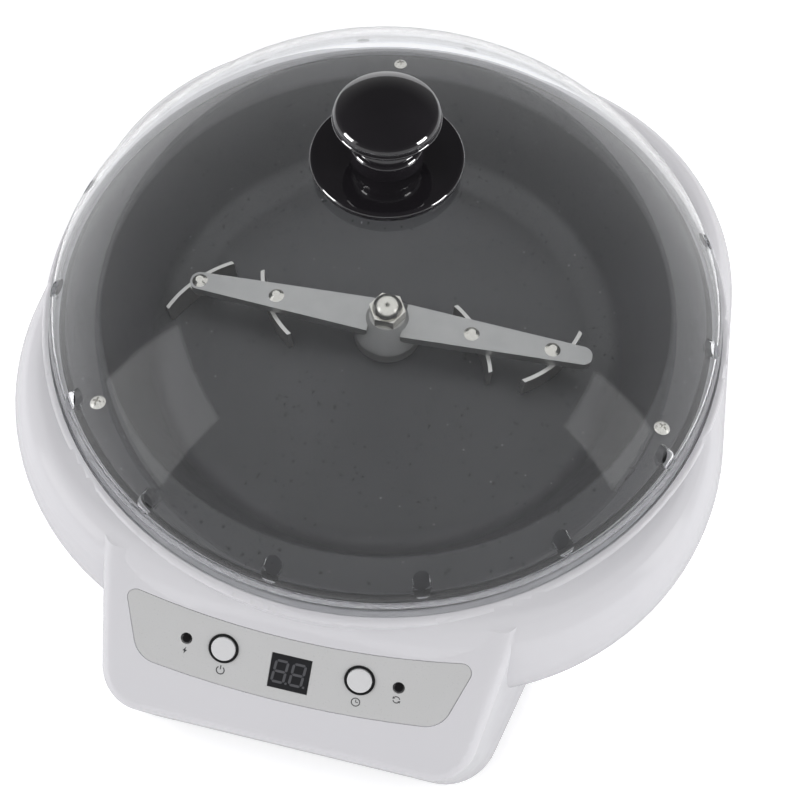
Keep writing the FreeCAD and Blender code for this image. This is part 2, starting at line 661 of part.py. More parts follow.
def roasting_pan():
    """Spun dish: flat flange, sloping wall, wide floor radius and a chimney for the shaft."""
    foot_inner = pan_radius(PAN_FLOOR)
    foot_outer = pan_radius(PAN_UNDERSIDE, PAN_SHEET)
    bore = CHIMNEY_RADIUS - PAN_SHEET
    pan = turned(
        (FLANGE_RADIUS, FLANGE_TOP), (PAN_MOUTH_RADIUS, FLANGE_TOP), (foot_inner, PAN_FLOOR),
        (CHIMNEY_RADIUS, PAN_FLOOR), (CHIMNEY_RADIUS, CHIMNEY_TOP), (bore, CHIMNEY_TOP),
        (bore, PAN_UNDERSIDE), (foot_outer, PAN_UNDERSIDE),
        (pan_radius(UNDER_FLANGE, PAN_SHEET), UNDER_FLANGE), (FLANGE_RADIUS, UNDER_FLANGE))
    pan = rings_rounded(pan, PAN_FLOOR_ROUND, (foot_inner, PAN_FLOOR))
    pan = rings_rounded(pan, PAN_FLOOR_ROUND + PAN_SHEET, (foot_outer, PAN_UNDERSIDE))
    pan = rings_rounded(pan, PAN_SHEET, (PAN_MOUTH_RADIUS, FLANGE_TOP))
    pan = rings_rounded(pan, 2 * PAN_SHEET, (CHIMNEY_RADIUS, PAN_FLOOR))
    pan = rings_rounded(pan, PAN_SHEET * 0.4, (FLANGE_RADIUS, FLANGE_TOP), (CHIMNEY_RADIUS, CHIMNEY_TOP))
    hole = tube(PAN_SCREW_RADIUS + FIT_GAP, 0, UNDER_FLANGE, FLANGE_TOP, PAN_SCREW_CIRCLE, 0)
    return pan.cut(spread(hole, PAN_SCREW_COUNT, PAN_SCREW_PHASE))


def pan_seal():
    """Heat-proof ring between the pan's flange and the gutter."""
    ring = tube(SEAL_OUTER, SEAL_INNER, GUTTER_FLOOR, UNDER_FLANGE)
    ring = rings_rounded(ring, SEAL_HEIGHT / 4, (SEAL_OUTER, UNDER_FLANGE))
    hole = tube(PAN_SCREW_RADIUS + FIT_GAP, 0, GUTTER_FLOOR, UNDER_FLANGE, PAN_SCREW_CIRCLE, 0)
    return ring.cut(spread(hole, PAN_SCREW_COUNT, PAN_SCREW_PHASE))


def pan_screws():
    length = PAN_SCREW_LENGTH - SCREW_END_GAP
    screw = panhead_screw(PAN_SCREW_HEAD, PAN_SCREW_HEAD_HEIGHT, PAN_SCREW_RADIUS, length)
    screw.translate(Vector(PAN_SCREW_CIRCLE, 0, FLANGE_TOP))
    return spread(screw, PAN_SCREW_COUNT, PAN_SCREW_PHASE)


def shaft_bush():
    """Flanged bearing pressed into the pan's chimney."""
    outer = CHIMNEY_RADIUS - PAN_SHEET
    bore = SHAFT_RADIUS + SHAFT_GAP
    return turned(
        (bore, BUSH_BOTTOM), (BUSH_FLANGE_RADIUS, BUSH_BOTTOM), (BUSH_FLANGE_RADIUS, PAN_UNDERSIDE),
        (outer, PAN_UNDERSIDE), (outer, BUSH_TOP), (bore, BUSH_TOP))


def heater_start():
    """Angle of the ring's first end: its gap is centred towards the console."""
    return -90 + (360 - HEATER_SPAN) / 2


def heating_element():
    """Sheathed tube bent to an open ring, its two cold ends turned down to the terminals."""
    height = PAN_UNDERSIDE - SEAT_GAP - HEATER_TUBE_RADIUS
    start_angle = heater_start()
    start = polar(HEATER_RING_RADIUS, start_angle, height)
    middle = polar(HEATER_RING_RADIUS, start_angle + HEATER_SPAN / 2, height)
    finish = polar(HEATER_RING_RADIUS, start_angle + HEATER_SPAN, height)
    ring = Part.Arc(start, middle, finish).toShape()
    forward = Vector(start.y, -start.x, 0).normalize()
    back = Vector(-finish.y, finish.x, 0).normalize()
    bend = HEATER_BEND
    half_turn = math.pi / 4
    drop = Vector(0, 0, -HEATER_DROP)
    parts = [ring]
    for place, way in ((start, forward), (finish, back)):
        low = place + way * bend - Vector(0, 0, bend)
        elbow = place + way * (bend * math.sin(half_turn))
        elbow -= Vector(0, 0, bend * (1 - math.cos(half_turn)))
        parts.append(Part.Arc(place, elbow, low).toShape())
        parts.append(Part.LineSegment(low, low + drop).toShape())
    path = Part.Wire(Part.__sortEdges__(parts))
    tip = start + forward * bend - Vector(0, 0, bend) + drop
    section = Part.Wire(Part.makeCircle(HEATER_TUBE_RADIUS, tip, Vector(0, 0, 1)))
    return path.makePipeShell([section], True, False)


def heater_clamps():
    """Saddles spaced evenly along the ring, which hold it up against the pan's floor."""
    height = PAN_UNDERSIDE - SEAT_GAP - HEATER_TUBE_RADIUS
    inner = HEATER_TUBE_RADIUS + FIT_GAP
    outer = inner + CLAMP_SHEET
    width = CLAMP_WIDTH
    rise = PAN_UNDERSIDE - height
    reach = outer + CLAMP_EAR
    centre = Vector(HEATER_RING_RADIUS, -width / 2, height)
    ears = Part.makeBox(2 * reach, width, CLAMP_SHEET, centre + Vector(-reach, 0, rise - CLAMP_SHEET))
    sides = Part.makeBox(2 * outer, width, rise, centre - Vector(outer, 0, 0))
    saddle = Part.makeCylinder(outer, width, centre, Y_AXIS).fuse([sides, ears])
    space = Part.makeBox(2 * inner, width, rise, centre - Vector(inner, 0, 0))
    under_pan = tube(2 * HEATER_RING_RADIUS, 0, 0, PAN_UNDERSIDE)
    saddle = saddle.cut([Part.makeCylinder(inner, width, centre, Y_AXIS), space]).common(under_pan)
    clamps = []
    for index in range(CLAMP_COUNT):
        clamp = saddle.copy()
        angle = heater_start() + HEATER_SPAN * (index + 0.5) / CLAMP_COUNT
        clamp.rotate(Vector(0, 0, 0), Vector(0, 0, 1), angle)
        clamps.append(clamp)
    return clamps


def heat_reflector():
    """Pressed tray under the heater, with an upturned rim and a lipped hole for the coupling."""
    sheet = REFLECTOR_SHEET
    hole = COUPLING_RADIUS + REFLECTOR_HOLE_GAP
    low = REFLECTOR_HEIGHT
    top = low + sheet
    rim = REFLECTOR_RADIUS + REFLECTOR_FLARE
    tray = turned(
        (hole, low), (REFLECTOR_RADIUS, low), (rim, low + REFLECTOR_RIM),
        (rim - sheet, low + REFLECTOR_RIM), (REFLECTOR_RADIUS - sheet, top), (hole + sheet, top),
        (hole + sheet, top + REFLECTOR_LIP), (hole, top + REFLECTOR_LIP))
    screw_hole = tube(SMALL_SCREW_RADIUS + FIT_GAP, 0, low, top, REFLECTOR_POST_CIRCLE, 0)
    cuts = spread(screw_hole, REFLECTOR_POST_COUNT, POST_PHASE)
    for angle, way in ((heater_start(), 1), (heater_start() + HEATER_SPAN, -1)):
        end = polar(HEATER_RING_RADIUS, angle)
        tip = end + Vector(end.y, -end.x, 0).normalize() * way * HEATER_BEND
        cuts.append(tube(2 * HEATER_TUBE_RADIUS, 0, low, top, tip.x, tip.y))
    return tray.cut(cuts)


def small_screw():
    """Screw that holds the motor's ears and the reflector."""
    length = SMALL_SCREW_LENGTH - SCREW_END_GAP
    return panhead_screw(SMALL_SCREW_HEAD, SMALL_SCREW_HEAD_HEIGHT, SMALL_SCREW_RADIUS, length)


def reflector_screws():
    screw = small_screw()
    screw.translate(Vector(REFLECTOR_POST_CIRCLE, 0, REFLECTOR_HEIGHT + REFLECTOR_SHEET))
    return spread(screw, REFLECTOR_POST_COUNT, POST_PHASE)


def gear_motor():
    """Flat synchronous gear motor: crimped can, output collar and two mounting ears."""
    can = tube(MOTOR_RADIUS, 0, MOTOR_BOTTOM, MOTOR_TOP)
    can = rings_rounded(can, MOTOR_ROUND, (MOTOR_RADIUS, MOTOR_BOTTOM), (MOTOR_RADIUS, MOTOR_TOP))
    seam = MOTOR_BOTTOM + MOTOR_HEIGHT * 0.4
    can = can.cut(tube(MOTOR_RADIUS, MOTOR_RADIUS - MOTOR_SEAM / 2, seam, seam + MOTOR_SEAM))
    width = MOTOR_BOSS_RADIUS
    reach = MOTOR_EAR_REACH + MOTOR_BOSS_RADIUS
    low = MOTOR_TOP - MOTOR_EAR_THICKNESS
    corners = [(-reach, -width), (reach, -width), (reach, width), (-reach, width)]
    ears = plate(rounded_outline(corners, [width * 0.9] * 4, low), MOTOR_EAR_THICKNESS)
    collar_top = MOTOR_TOP + MOTOR_COLLAR_HEIGHT
    collar = tube(2 * SPINDLE_RADIUS, 0, MOTOR_TOP, collar_top)
    cuts = [tube(SPINDLE_RADIUS + SHAFT_GAP, 0, MOTOR_BOTTOM + MOTOR_HEIGHT / 2, collar_top)]
    for x, y in motor_screw_places():
        cuts.append(tube(SMALL_SCREW_RADIUS + FIT_GAP, 0, low, MOTOR_TOP, x, y))
    return can.fuse([ears, collar]).cut(cuts)


def motor_screws():
    screws = []
    for x, y in motor_screw_places():
        screw = small_screw()
        screw.translate(Vector(x, y, MOTOR_TOP))
        screws.append(screw)
    return screws


def motor_spindle():
    return tube(SPINDLE_RADIUS, 0, MOTOR_BOTTOM + MOTOR_HEIGHT / 2 + SEAT_GAP, SHAFT_JOIN)


def shaft_coupling():
    """Sleeve that joins the motor's spindle to the stirrer's shaft."""
    bottom = MOTOR_TOP + COUPLING_LIFT
    top = BUSH_BOTTOM - SEAT_GAP
    sleeve = tube(COUPLING_RADIUS, 0, bottom, top)
    sleeve = rings_rounded(sleeve, SHAFT_CHAMFER, (COUPLING_RADIUS, bottom), (COUPLING_RADIUS, top))
    return sleeve.cut([tube(SPINDLE_RADIUS, 0, 0, SHAFT_JOIN), tube(SHAFT_RADIUS, 0, SHAFT_JOIN, top)])


def drive_shaft():
    """Shaft with a flat for the hub and a chamfered tip for the nut."""
    top = HUB_TOP + SHAFT_TIP
    shaft = turned(
        (0, SHAFT_JOIN), (SHAFT_RADIUS, SHAFT_JOIN), (SHAFT_RADIUS, top - SHAFT_CHAMFER),
        (SHAFT_RADIUS - SHAFT_CHAMFER, top), (0, top))
    corner = Vector(-2 * SHAFT_RADIUS, SHAFT_RADIUS * 0.7, BUSH_TOP + SHAFT_CHAMFER)
    flat = Part.makeBox(4 * SHAFT_RADIUS, SHAFT_RADIUS, top, corner)
    return shaft.cut(flat)


def cavity_form(gap):
    """Space inside the pan, held off its floor and wall by a gap."""
    floor = PAN_FLOOR + gap
    low = pan_radius(floor, -gap)
    high = pan_radius(FLANGE_TOP, -gap)
    space = turned((0, floor), (low, floor), (high, FLANGE_TOP), (0, FLANGE_TOP))
    return rings_rounded(space, PAN_FLOOR_ROUND - gap, (low, floor))


def stirring_hub():
    """Bell-shaped hub over the chimney, with two tapered arms cast on."""
    mouth = CHIMNEY_RADIUS + HUB_MOUTH_GAP
    roof = CHIMNEY_TOP + HUB_ROOF_GAP
    side_top = HUB_BOTTOM + HUB_HEIGHT / 3
    bell = turned(
        (mouth, HUB_BOTTOM), (HUB_RADIUS, HUB_BOTTOM), (HUB_RADIUS, side_top),
        (COUPLING_RADIUS, HUB_TOP), (0, HUB_TOP), (0, roof), (mouth, roof))
    bell = rings_rounded(bell, HUB_ROUND, (HUB_RADIUS, side_top))
    root = (ARM_WIDTH + ARM_THICKNESS) / 2
    tip = ARM_TIP_WIDTH / 2
    outline = [(HUB_RADIUS / 2, -root), (ARM_REACH, -tip), (ARM_REACH, tip), (HUB_RADIUS / 2, root)]
    arm = plate(rounded_outline(outline, [0, tip * 0.95, tip * 0.95, 0], ARM_BOTTOM), ARM_THICKNESS)
    bell = bell.fuse(spread(arm, ARM_COUNT))
    return bell.cut([tube(SHAFT_RADIUS, 0, roof, HUB_TOP)] + rivet_holes())


def blade_places():
    """Arm angle, radius and turn of every blade: they alternate, so their tracks overlap."""
    places = []
    for arm in range(ARM_COUNT):
        shift = BLADE_STAGGER if arm % 2 else 0.0
        for index, radius in enumerate(BLADE_RADII):
            turn = -BLADE_ANGLE if index % 2 else BLADE_ANGLE
            places.append((360.0 * arm / ARM_COUNT, radius + shift, turn))
    return places


def rivet_holes():
    holes = []
    for angle, radius, turn in blade_places():
        place = polar(radius, angle)
        holes.append(tube(RIVET_RADIUS, 0, ARM_BOTTOM, HUB_TOP, place.x, place.y))
    return holes


def stirring_blades():
    """Curved plough blades cut to the pan's own profile, each folded to a tab riveted under its arm."""
    blades = []
    outer = BLADE_LENGTH / math.radians(BLADE_CURVE)
    half = BLADE_LENGTH / 2
    tab_half = ARM_TIP_WIDTH / 2
    tab_bottom = BLADE_TOP - BLADE_SHEET
    face = BLADE_SIDESTEP + BLADE_SHEET / 2
    for angle, radius, turn in blade_places():
        ring = tube(outer, outer - BLADE_SHEET, PAN_FLOOR, BLADE_TOP, face - outer, 0)
        strip = ring.common(Part.makeBox(outer, 2 * half, FLANGE_TOP, Vector(face - outer, -half, 0)))
        tab = tube(tab_half, 0, tab_bottom, BLADE_TOP)
        fold = Part.makeBox(BLADE_SIDESTEP, 2 * tab_half, BLADE_SHEET, Vector(0, -tab_half, tab_bottom))
        blade = strip.fuse([tab, fold]).cut(tube(RIVET_RADIUS, 0, tab_bottom, BLADE_TOP))
        blade.rotate(Vector(0, 0, 0), Vector(0, 0, 1), turn + angle)
        blade.translate(polar(radius, angle))
        blades.append(blade.common(cavity_form(BLADE_CLEARANCE)))
    return blades


def blade_rivets():
    """Rivets through the arms and the blades' tabs, with a flat head below and a formed one above."""
    top = ARM_BOTTOM + ARM_THICKNESS
    low = BLADE_TOP - BLADE_SHEET
    wide = 1.5 * RIVET_RADIUS
    rivets = []
    for angle, radius, turn in blade_places():
        rivet = turned(
            (0, low - RIVET_HEAD_HEIGHT), (wide, low - RIVET_HEAD_HEIGHT), (wide, low), (RIVET_RADIUS, low),
            (RIVET_RADIUS, top), (2 * RIVET_RADIUS, top), (RIVET_RADIUS, top + RIVET_HEAD_HEIGHT),
            (0, top + RIVET_HEAD_HEIGHT))
        rivet.translate(polar(radius, angle))
        rivets.append(rivet)
    return rivets


def arm_nut():
    """Domed hexagon nut that clamps the hub on the shaft."""
    across = NUT_ACROSS_FLATS / 2 / math.cos(math.pi / 6)
    points = [polar(across, 60 * index, HUB_TOP) for index in range(7)]
    prism = Part.Face(Part.makePolygon(points)).extrude(Vector(0, 0, NUT_HEIGHT))
    dome_base = HUB_TOP + NUT_HEIGHT - 1
    dome = Part.makeSphere(NUT_ACROSS_FLATS / 2 * 0.96, Vector(0, 0, dome_base))
    dome = dome.common(tube(across, 0, dome_base, dome_base + NUT_ACROSS_FLATS))
    return prism.fuse(dome).cut(tube(SHAFT_RADIUS, 0, HUB_TOP, HUB_TOP + SHAFT_TIP + FIT_GAP))


def thermostat():
    """Snap-disc thermostat held to the pan's floor, with its two blade terminals."""
    top = PAN_UNDERSIDE
    body = tube(THERMOSTAT_RADIUS, 0, top - THERMOSTAT_HEIGHT, top)
    body = rings_rounded(body, TAB_SHEET, (THERMOSTAT_RADIUS, top - THERMOSTAT_HEIGHT))
    corner = Vector(-TAB_REACH, -TAB_SHEET / 2, top - THERMOSTAT_HEIGHT + TAB_SHEET)
    body = body.fuse(Part.makeBox(2 * TAB_REACH, TAB_SHEET, TAB_HEIGHT, corner))
    body.translate(Vector(0, THERMOSTAT_PLACE, 0))
    return body


def cord_gland():
    """Moulded bush that the supply lead passes through, with a flange outside the wall."""
    seat = -GLAND_FLANGE_THICKNESS
    tail = -GLAND_PAD_DEPTH - GLAND_TAIL
    bush = turned(
        (GLAND_BORE_RADIUS, 0), (GLAND_FLANGE_RADIUS, 0), (GLAND_FLANGE_RADIUS, seat),
        (GLAND_BARREL_RADIUS, seat), (GLAND_BARREL_RADIUS, tail), (GLAND_BORE_RADIUS, tail))
    bush = rings_rounded(bush, GLAND_FLANGE_THICKNESS * 0.4, (GLAND_FLANGE_RADIUS, 0))
    bush.rotate(Vector(0, 0, 0), Vector(1, 0, 0), -90)
    bush.translate(Vector(0, gland_face() + GLAND_FLANGE_THICKNESS, GLAND_HEIGHT))
    return bush


def panel_overlay():
    """Thin control panel in the deck's recess, with its window, button and lamp openings."""
    sheet = overlay_form(0.0, -OVERLAY_SHEET, 0.0)
    cuts = [window_form(FIT_GAP, -1, 1)]
    for side in (-1, 1):
        cuts.append(deck_hole(RING_RADIUS + FIT_GAP, side * BUTTON_ACROSS, BUTTON_DOWN))
        cuts.append(deck_hole(LAMP_RADIUS + FIT_GAP, side * LAMP_ACROSS, LAMP_DOWN))
    return on_deck(sheet.cut(cuts))


def display_window():
    return on_deck(window_form(0.0, WINDOW_PROUD - WINDOW_THICKNESS, WINDOW_PROUD))


def display_module():
    """Two-digit display block on the board, standing under its window."""
    return on_deck(window_form(-MODULE_INSET, -BOARD_DEPTH, WINDOW_PROUD - WINDOW_THICKNESS))


def control_board():
    width = 2 * BOARD_HALF_WIDTH
    length = BOARD_BOTTOM_DOWN - BOARD_TOP_DOWN
    corner = Vector(-BOARD_HALF_WIDTH, -BOARD_BOTTOM_DOWN, BOARD_UNDERSIDE)
    board = Part.makeBox(width, length, BOARD_THICKNESS, corner)
    cuts = []
    for side in (-1, 1):
        for down in BOARD_POST_DOWNS:
            place = Vector(side * BOARD_POST_ACROSS, -down, BOARD_UNDERSIDE)
            cuts.append(Part.makeCylinder(BOARD_SCREW_RADIUS + FIT_GAP, BOARD_THICKNESS, place))
    return on_deck(board.cut(cuts))


def board_screws():
    screws = []
    for side in (-1, 1):
        for down in BOARD_POST_DOWNS:
            screw = panhead_screw(
                BOARD_SCREW_HEAD, BOARD_SCREW_HEAD_HEIGHT, BOARD_SCREW_RADIUS, BOARD_SCREW_BITE)
            screw.rotate(Vector(0, 0, 0), Vector(1, 0, 0), 180)
            screw.translate(Vector(side * BOARD_POST_ACROSS, -down, BOARD_UNDERSIDE))
            screws.append(on_deck(screw))
    return screws


def board_components():
    """Relay, capacitor and terminal block under the control board."""
    relay = block_on_deck(RELAY_SIZE, RELAY_PLACE, BOARD_UNDERSIDE - RELAY_SIZE[2])
    terminals = block_on_deck(TERMINALS_SIZE, TERMINALS_PLACE, BOARD_UNDERSIDE - TERMINALS_SIZE[2])
    foot = Vector(*CAPACITOR_PLACE, BOARD_UNDERSIDE - CAPACITOR_LENGTH)
    capacitor = on_deck(Part.makeCylinder(CAPACITOR_RADIUS, CAPACITOR_LENGTH, foot))
    return [relay, capacitor, terminals]


def tact_switches():
    """Two square switches on the board, each with its round plunger under a button."""
    switches = []
    for side in (-1, 1):
        place = (side * BUTTON_ACROSS, -BUTTON_DOWN)
        base = block_on_deck((SWITCH_WIDTH, SWITCH_WIDTH, SWITCH_HEIGHT), place, -BOARD_DEPTH)
        foot = Vector(*place, SWITCH_HEIGHT - BOARD_DEPTH)
        plunger = on_deck(Part.makeCylinder(PLUNGER_RADIUS, PLUNGER_HEIGHT, foot))
        switches.append(base.fuse(plunger))
    return switches


def lamp(side):
    """Dark lamp that passes through the deck from the board, with a domed tip."""
    body = tube(LAMP_RADIUS, 0, -BOARD_DEPTH, LAMP_PROUD)
    body = rings_rounded(body, LAMP_TIP_ROUND, (LAMP_RADIUS, LAMP_PROUD))
    body.translate(Vector(side * LAMP_ACROSS, -LAMP_DOWN, 0))
    return on_deck(body)


def push_button(side):
    """Button cap with a retaining flange under the deck and a stem towards its switch."""
    low = BUTTON_FLANGE_TOP - BUTTON_FLANGE_THICKNESS
    stem = SWITCH_HEIGHT + PLUNGER_HEIGHT + BUTTON_TRAVEL + SEAT_GAP - BOARD_DEPTH
    wide = BUTTON_RADIUS + BUTTON_FLANGE
    cap = turned(
        (0, stem), (BUTTON_STEM_RADIUS, stem), (BUTTON_STEM_RADIUS, low), (wide, low),
        (wide, BUTTON_FLANGE_TOP), (BUTTON_RADIUS, BUTTON_FLANGE_TOP), (BUTTON_RADIUS, BUTTON_PROUD),
        (0, BUTTON_PROUD))
    cap = rings_rounded(cap, BUTTON_ROUND, (BUTTON_RADIUS, BUTTON_PROUD))
    cap.translate(Vector(side * BUTTON_ACROSS, -BUTTON_DOWN, 0))
    return on_deck(cap)


def button_ring(side):
    ring = tube(RING_RADIUS, BUTTON_RADIUS + SLIDE_GAP, -OVERLAY_SHEET, OVERLAY_SHEET)
    ring = rings_rounded(ring, RING_ROUND, (RING_RADIUS, OVERLAY_SHEET))
    ring.translate(Vector(side * BUTTON_ACROSS, -BUTTON_DOWN, 0))
    return on_deck(ring)


def dome_edges(inset):
    """Section of one face of the dome, from its wall's foot over the shoulder and arc to the axis."""
    wall = LID_WALL_RADIUS
    crown_radius = KNOB_DISC_RADIUS + 2 * SLIDE_GAP
    crown_span = DOME_TOP ** 2 + crown_radius ** 2
    wall_span = LID_WALL_TOP ** 2 + wall ** 2
    lift = (crown_span - wall_span) / (2 * (DOME_TOP - LID_WALL_TOP))
    sweep = math.hypot(wall, LID_WALL_TOP - lift)
    centre = Vector(0, 0, lift)
    run = wall - LID_SHOULDER_ROUND
    turn = Vector(run, 0, lift + math.sqrt((sweep - LID_SHOULDER_ROUND) ** 2 - run ** 2))
    outward = (turn - centre).normalize()
    bend = LID_SHOULDER_ROUND - inset
    foot = Vector(wall - inset, 0, LID_BOTTOM)
    wall_end = Vector(wall - inset, 0, turn.z)
    bend_middle = turn + (outward + Vector(1, 0, 0)).normalize() * bend
    arc_start = turn + outward * bend
    top = DOME_TOP - inset
    arc_end = Vector(math.sqrt((sweep - inset) ** 2 - (top - lift) ** 2), 0, top)
    arc_middle = centre + (arc_start + arc_end - centre * 2).normalize() * (sweep - inset)
    return [
        Part.LineSegment(foot, wall_end).toShape(),
        Part.Arc(wall_end, bend_middle, arc_start).toShape(),
        Part.Arc(arc_start, arc_middle, arc_end).toShape(),
        Part.LineSegment(arc_end, Vector(0, 0, top)).toShape(),
    ]


def dome_bell(inset):
    """Solid bell inside one face of the dome."""
    edges = dome_edges(inset)
    foot = edges[0].Vertexes[0].Point
    axis_foot = Vector(0, 0, foot.z)
    edges.append(Part.LineSegment(Vector(0, 0, DOME_TOP - inset), axis_foot).toShape())
    edges.append(Part.LineSegment(axis_foot, foot).toShape())
    return swept_round(edges)


def lid_dome():
    """Clear blown dome with a stepped lip, a ring of vent holes and the knob's screw hole."""
    lip_top = LID_BOTTOM + LID_LIP_HEIGHT
    lip = tube(LID_LIP_RADIUS, LID_WALL_RADIUS - LID_SHEET / 2, LID_BOTTOM, lip_top)
    shell = dome_bell(0.0).cut(dome_bell(LID_SHEET)).fuse(lip).removeSplitter()
    vent_start = Vector(LID_LIP_RADIUS * 0.8, 0, FLANGE_TOP + VENT_LIFT)
    vent = Part.makeCylinder(VENT_RADIUS, LID_LIP_RADIUS * 0.4, vent_start, Vector(1, 0, 0))
    cuts = spread(vent, VENT_COUNT, VENT_PHASE)
    cuts.append(tube(KNOB_SCREW_RADIUS + FIT_GAP, 0, DOME_TOP - 2 * LID_SHEET, DOME_TOP))
    return shell.cut(cuts)


def knob_base():
    """Black disc that seats the knob on the dome's flat crown."""
    disc = tube(KNOB_DISC_RADIUS, KNOB_SCREW_RADIUS + FIT_GAP, DOME_TOP, KNOB_BOTTOM)
    return rings_rounded(disc, KNOB_DISC_ROUND, (KNOB_DISC_RADIUS, KNOB_BOTTOM))


def knob():
    """Turned mushroom knob: straight neck, flared skirt and a crowned cap on a screwed bore."""
    cap = KNOB_CAP_RADIUS
    neck_top = KNOB_BOTTOM + KNOB_NECK_HEIGHT
    side_bottom = KNOB_FLARE_TOP + KNOB_SKIRT_HEIGHT * 0.4
    rim = cap - KNOB_ROUND / 2
    sections = [
        (0, KNOB_BOTTOM), (KNOB_NECK_RADIUS, KNOB_BOTTOM), (KNOB_NECK_RADIUS, neck_top),
        (cap - KNOB_CAP_LIP, KNOB_FLARE_TOP), (cap, side_bottom),
        (cap, KNOB_FLARE_TOP + KNOB_SKIRT_HEIGHT), (rim, KNOB_SIDE_TOP)]
    points = [Vector(radius, 0, height) for radius, height in sections]
    crown = Vector(0, 0, KNOB_TOP)
    crown_radius = (rim ** 2 + KNOB_CROWN_HEIGHT ** 2) / (2 * KNOB_CROWN_HEIGHT)
    half = math.asin(rim / crown_radius) / 2
    centre_height = KNOB_TOP - crown_radius
    over = Vector(crown_radius * math.sin(half), 0, centre_height + crown_radius * math.cos(half))
    edges = [Part.LineSegment(*pair).toShape() for pair in zip(points, points[1:])]
    edges.append(Part.Arc(points[-1], over, crown).toShape())
    edges.append(Part.LineSegment(crown, points[0]).toShape())
    body = rings_rounded(swept_round(edges), KNOB_ROUND, (cap, side_bottom), (rim, KNOB_SIDE_TOP))
    return body.cut(tube(KNOB_SCREW_RADIUS + FIT_GAP, 0, KNOB_BOTTOM, KNOB_FLARE_TOP))


def knob_washer():
    top = DOME_TOP - LID_SHEET
    return tube(WASHER_RADIUS, KNOB_SCREW_RADIUS + FIT_GAP, top - WASHER_THICKNESS, top)


def knob_screw():
    """Screw up through the washer and the dome into the knob."""
    seat = DOME_TOP - LID_SHEET - WASHER_THICKNESS
    length = KNOB_FLARE_TOP - SCREW_END_GAP - seat
    screw = panhead_screw(KNOB_SCREW_HEAD, KNOB_SCREW_HEAD_HEIGHT, KNOB_SCREW_RADIUS, length)
    screw.rotate(Vector(0, 0, 0), Vector(1, 0, 0), 180)
    screw.translate(Vector(0, 0, seat))
    return screw


PARTS = {
    "housing": housing,
    "base_plate": base_plate,
    "base_screws": base_screws,
    "rubber_feet": rubber_feet,
    "cord_gland": cord_gland,
    "roasting_pan": roasting_pan,
    "pan_seal": pan_seal,
    "pan_screws": pan_screws,
    "shaft_bush": shaft_bush,
    "heating_element": heating_element,
    "heater_clamps": heater_clamps,
    "heat_reflector": heat_reflector,
    "reflector_screws": reflector_screws,
    "thermostat": thermostat,
    "gear_motor": gear_motor,
    "motor_screws": motor_screws,
    "motor_spindle": motor_spindle,
    "shaft_coupling": shaft_coupling,
    "drive_shaft": drive_shaft,
    "stirring_hub": stirring_hub,
    "stirring_blades": stirring_blades,
    "blade_rivets": blade_rivets,
    "arm_nut": arm_nut,
    "panel_overlay": panel_overlay,
    "display_window": display_window,
    "display_module": display_module,
    "control_board": control_board,
    "board_screws": board_screws,
    "board_components": board_components,
    "tact_switches": tact_switches,
    "power_lamp": lambda: lamp(-1),
    "working_lamp": lambda: lamp(1),
    "power_button": lambda: push_button(-1),
    "timer_button": lambda: push_button(1),
    "power_button_ring": lambda: button_ring(-1),
    "timer_button_ring": lambda: button_ring(1),
    "lid_dome": lid_dome,
    "knob_base": knob_base,
    "knob": knob,
    "knob_washer": knob_washer,
    "knob_screw": knob_screw,
}


def main():
    os.makedirs("parts", exist_ok=True)
    shapes = {}
    for name, make in PARTS.items():
        shape = make()
        if isinstance(shape, list):
            shape = Part.makeCompound(shape)
        shapes[name] = shape
    box = shapes["housing"].BoundBox
    to_middle = Vector(0, -(box.YMin + box.YMax) / 2, 0)
    for name, shape in shapes.items():
        shape.translate(to_middle)
        print(name, "solids", len(shape.Solids), "valid", shape.isValid(), "volume", round(shape.Volume))
        shape.exportStep("parts/" + name + ".step")
    print("pan axis at y =", round(to_middle.y, 3))


main()
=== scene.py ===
import json
import math
import bmesh
import bpy
from mathutils import Matrix, Vector


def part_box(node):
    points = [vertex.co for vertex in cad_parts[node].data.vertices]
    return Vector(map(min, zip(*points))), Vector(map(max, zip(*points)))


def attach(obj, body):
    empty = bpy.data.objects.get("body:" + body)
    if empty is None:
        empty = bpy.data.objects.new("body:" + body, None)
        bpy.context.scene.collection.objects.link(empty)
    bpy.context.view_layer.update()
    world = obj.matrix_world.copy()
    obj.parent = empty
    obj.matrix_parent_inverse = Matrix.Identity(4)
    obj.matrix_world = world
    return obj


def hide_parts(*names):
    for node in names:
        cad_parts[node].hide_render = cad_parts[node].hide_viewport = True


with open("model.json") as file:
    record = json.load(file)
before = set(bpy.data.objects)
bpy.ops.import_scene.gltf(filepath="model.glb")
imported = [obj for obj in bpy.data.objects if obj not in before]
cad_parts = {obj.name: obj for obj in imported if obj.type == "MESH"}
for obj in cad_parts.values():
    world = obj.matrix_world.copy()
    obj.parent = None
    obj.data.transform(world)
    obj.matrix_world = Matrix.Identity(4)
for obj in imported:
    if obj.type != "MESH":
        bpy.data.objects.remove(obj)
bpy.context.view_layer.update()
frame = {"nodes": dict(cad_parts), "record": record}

# Lengths are written in millimetres and turned to metres where a mesh or material is made.
MM = 0.001

# The pan's axis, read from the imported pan, and the heights that the round pieces share
PAN_LOW, PAN_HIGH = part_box("roasting_pan")
AXIS_Y = (PAN_LOW[1] + PAN_HIGH[1]) / 2 / MM
FLANGE_RADIUS = (PAN_HIGH[0] - PAN_LOW[0]) / 2 / MM
FLANGE_TOP = PAN_HIGH[2] / MM
PAN_SHEET = 1.5
PAN_MOUTH_RADIUS = 107.5
PAN_FLOOR_RADIUS = 95.0
PAN_FLOOR = FLANGE_TOP - 42.0
PAN_FLOOR_ROUND = 14.0
CHIMNEY_RADIUS = 10.0
CHIMNEY_TOP = PAN_FLOOR + 8.0

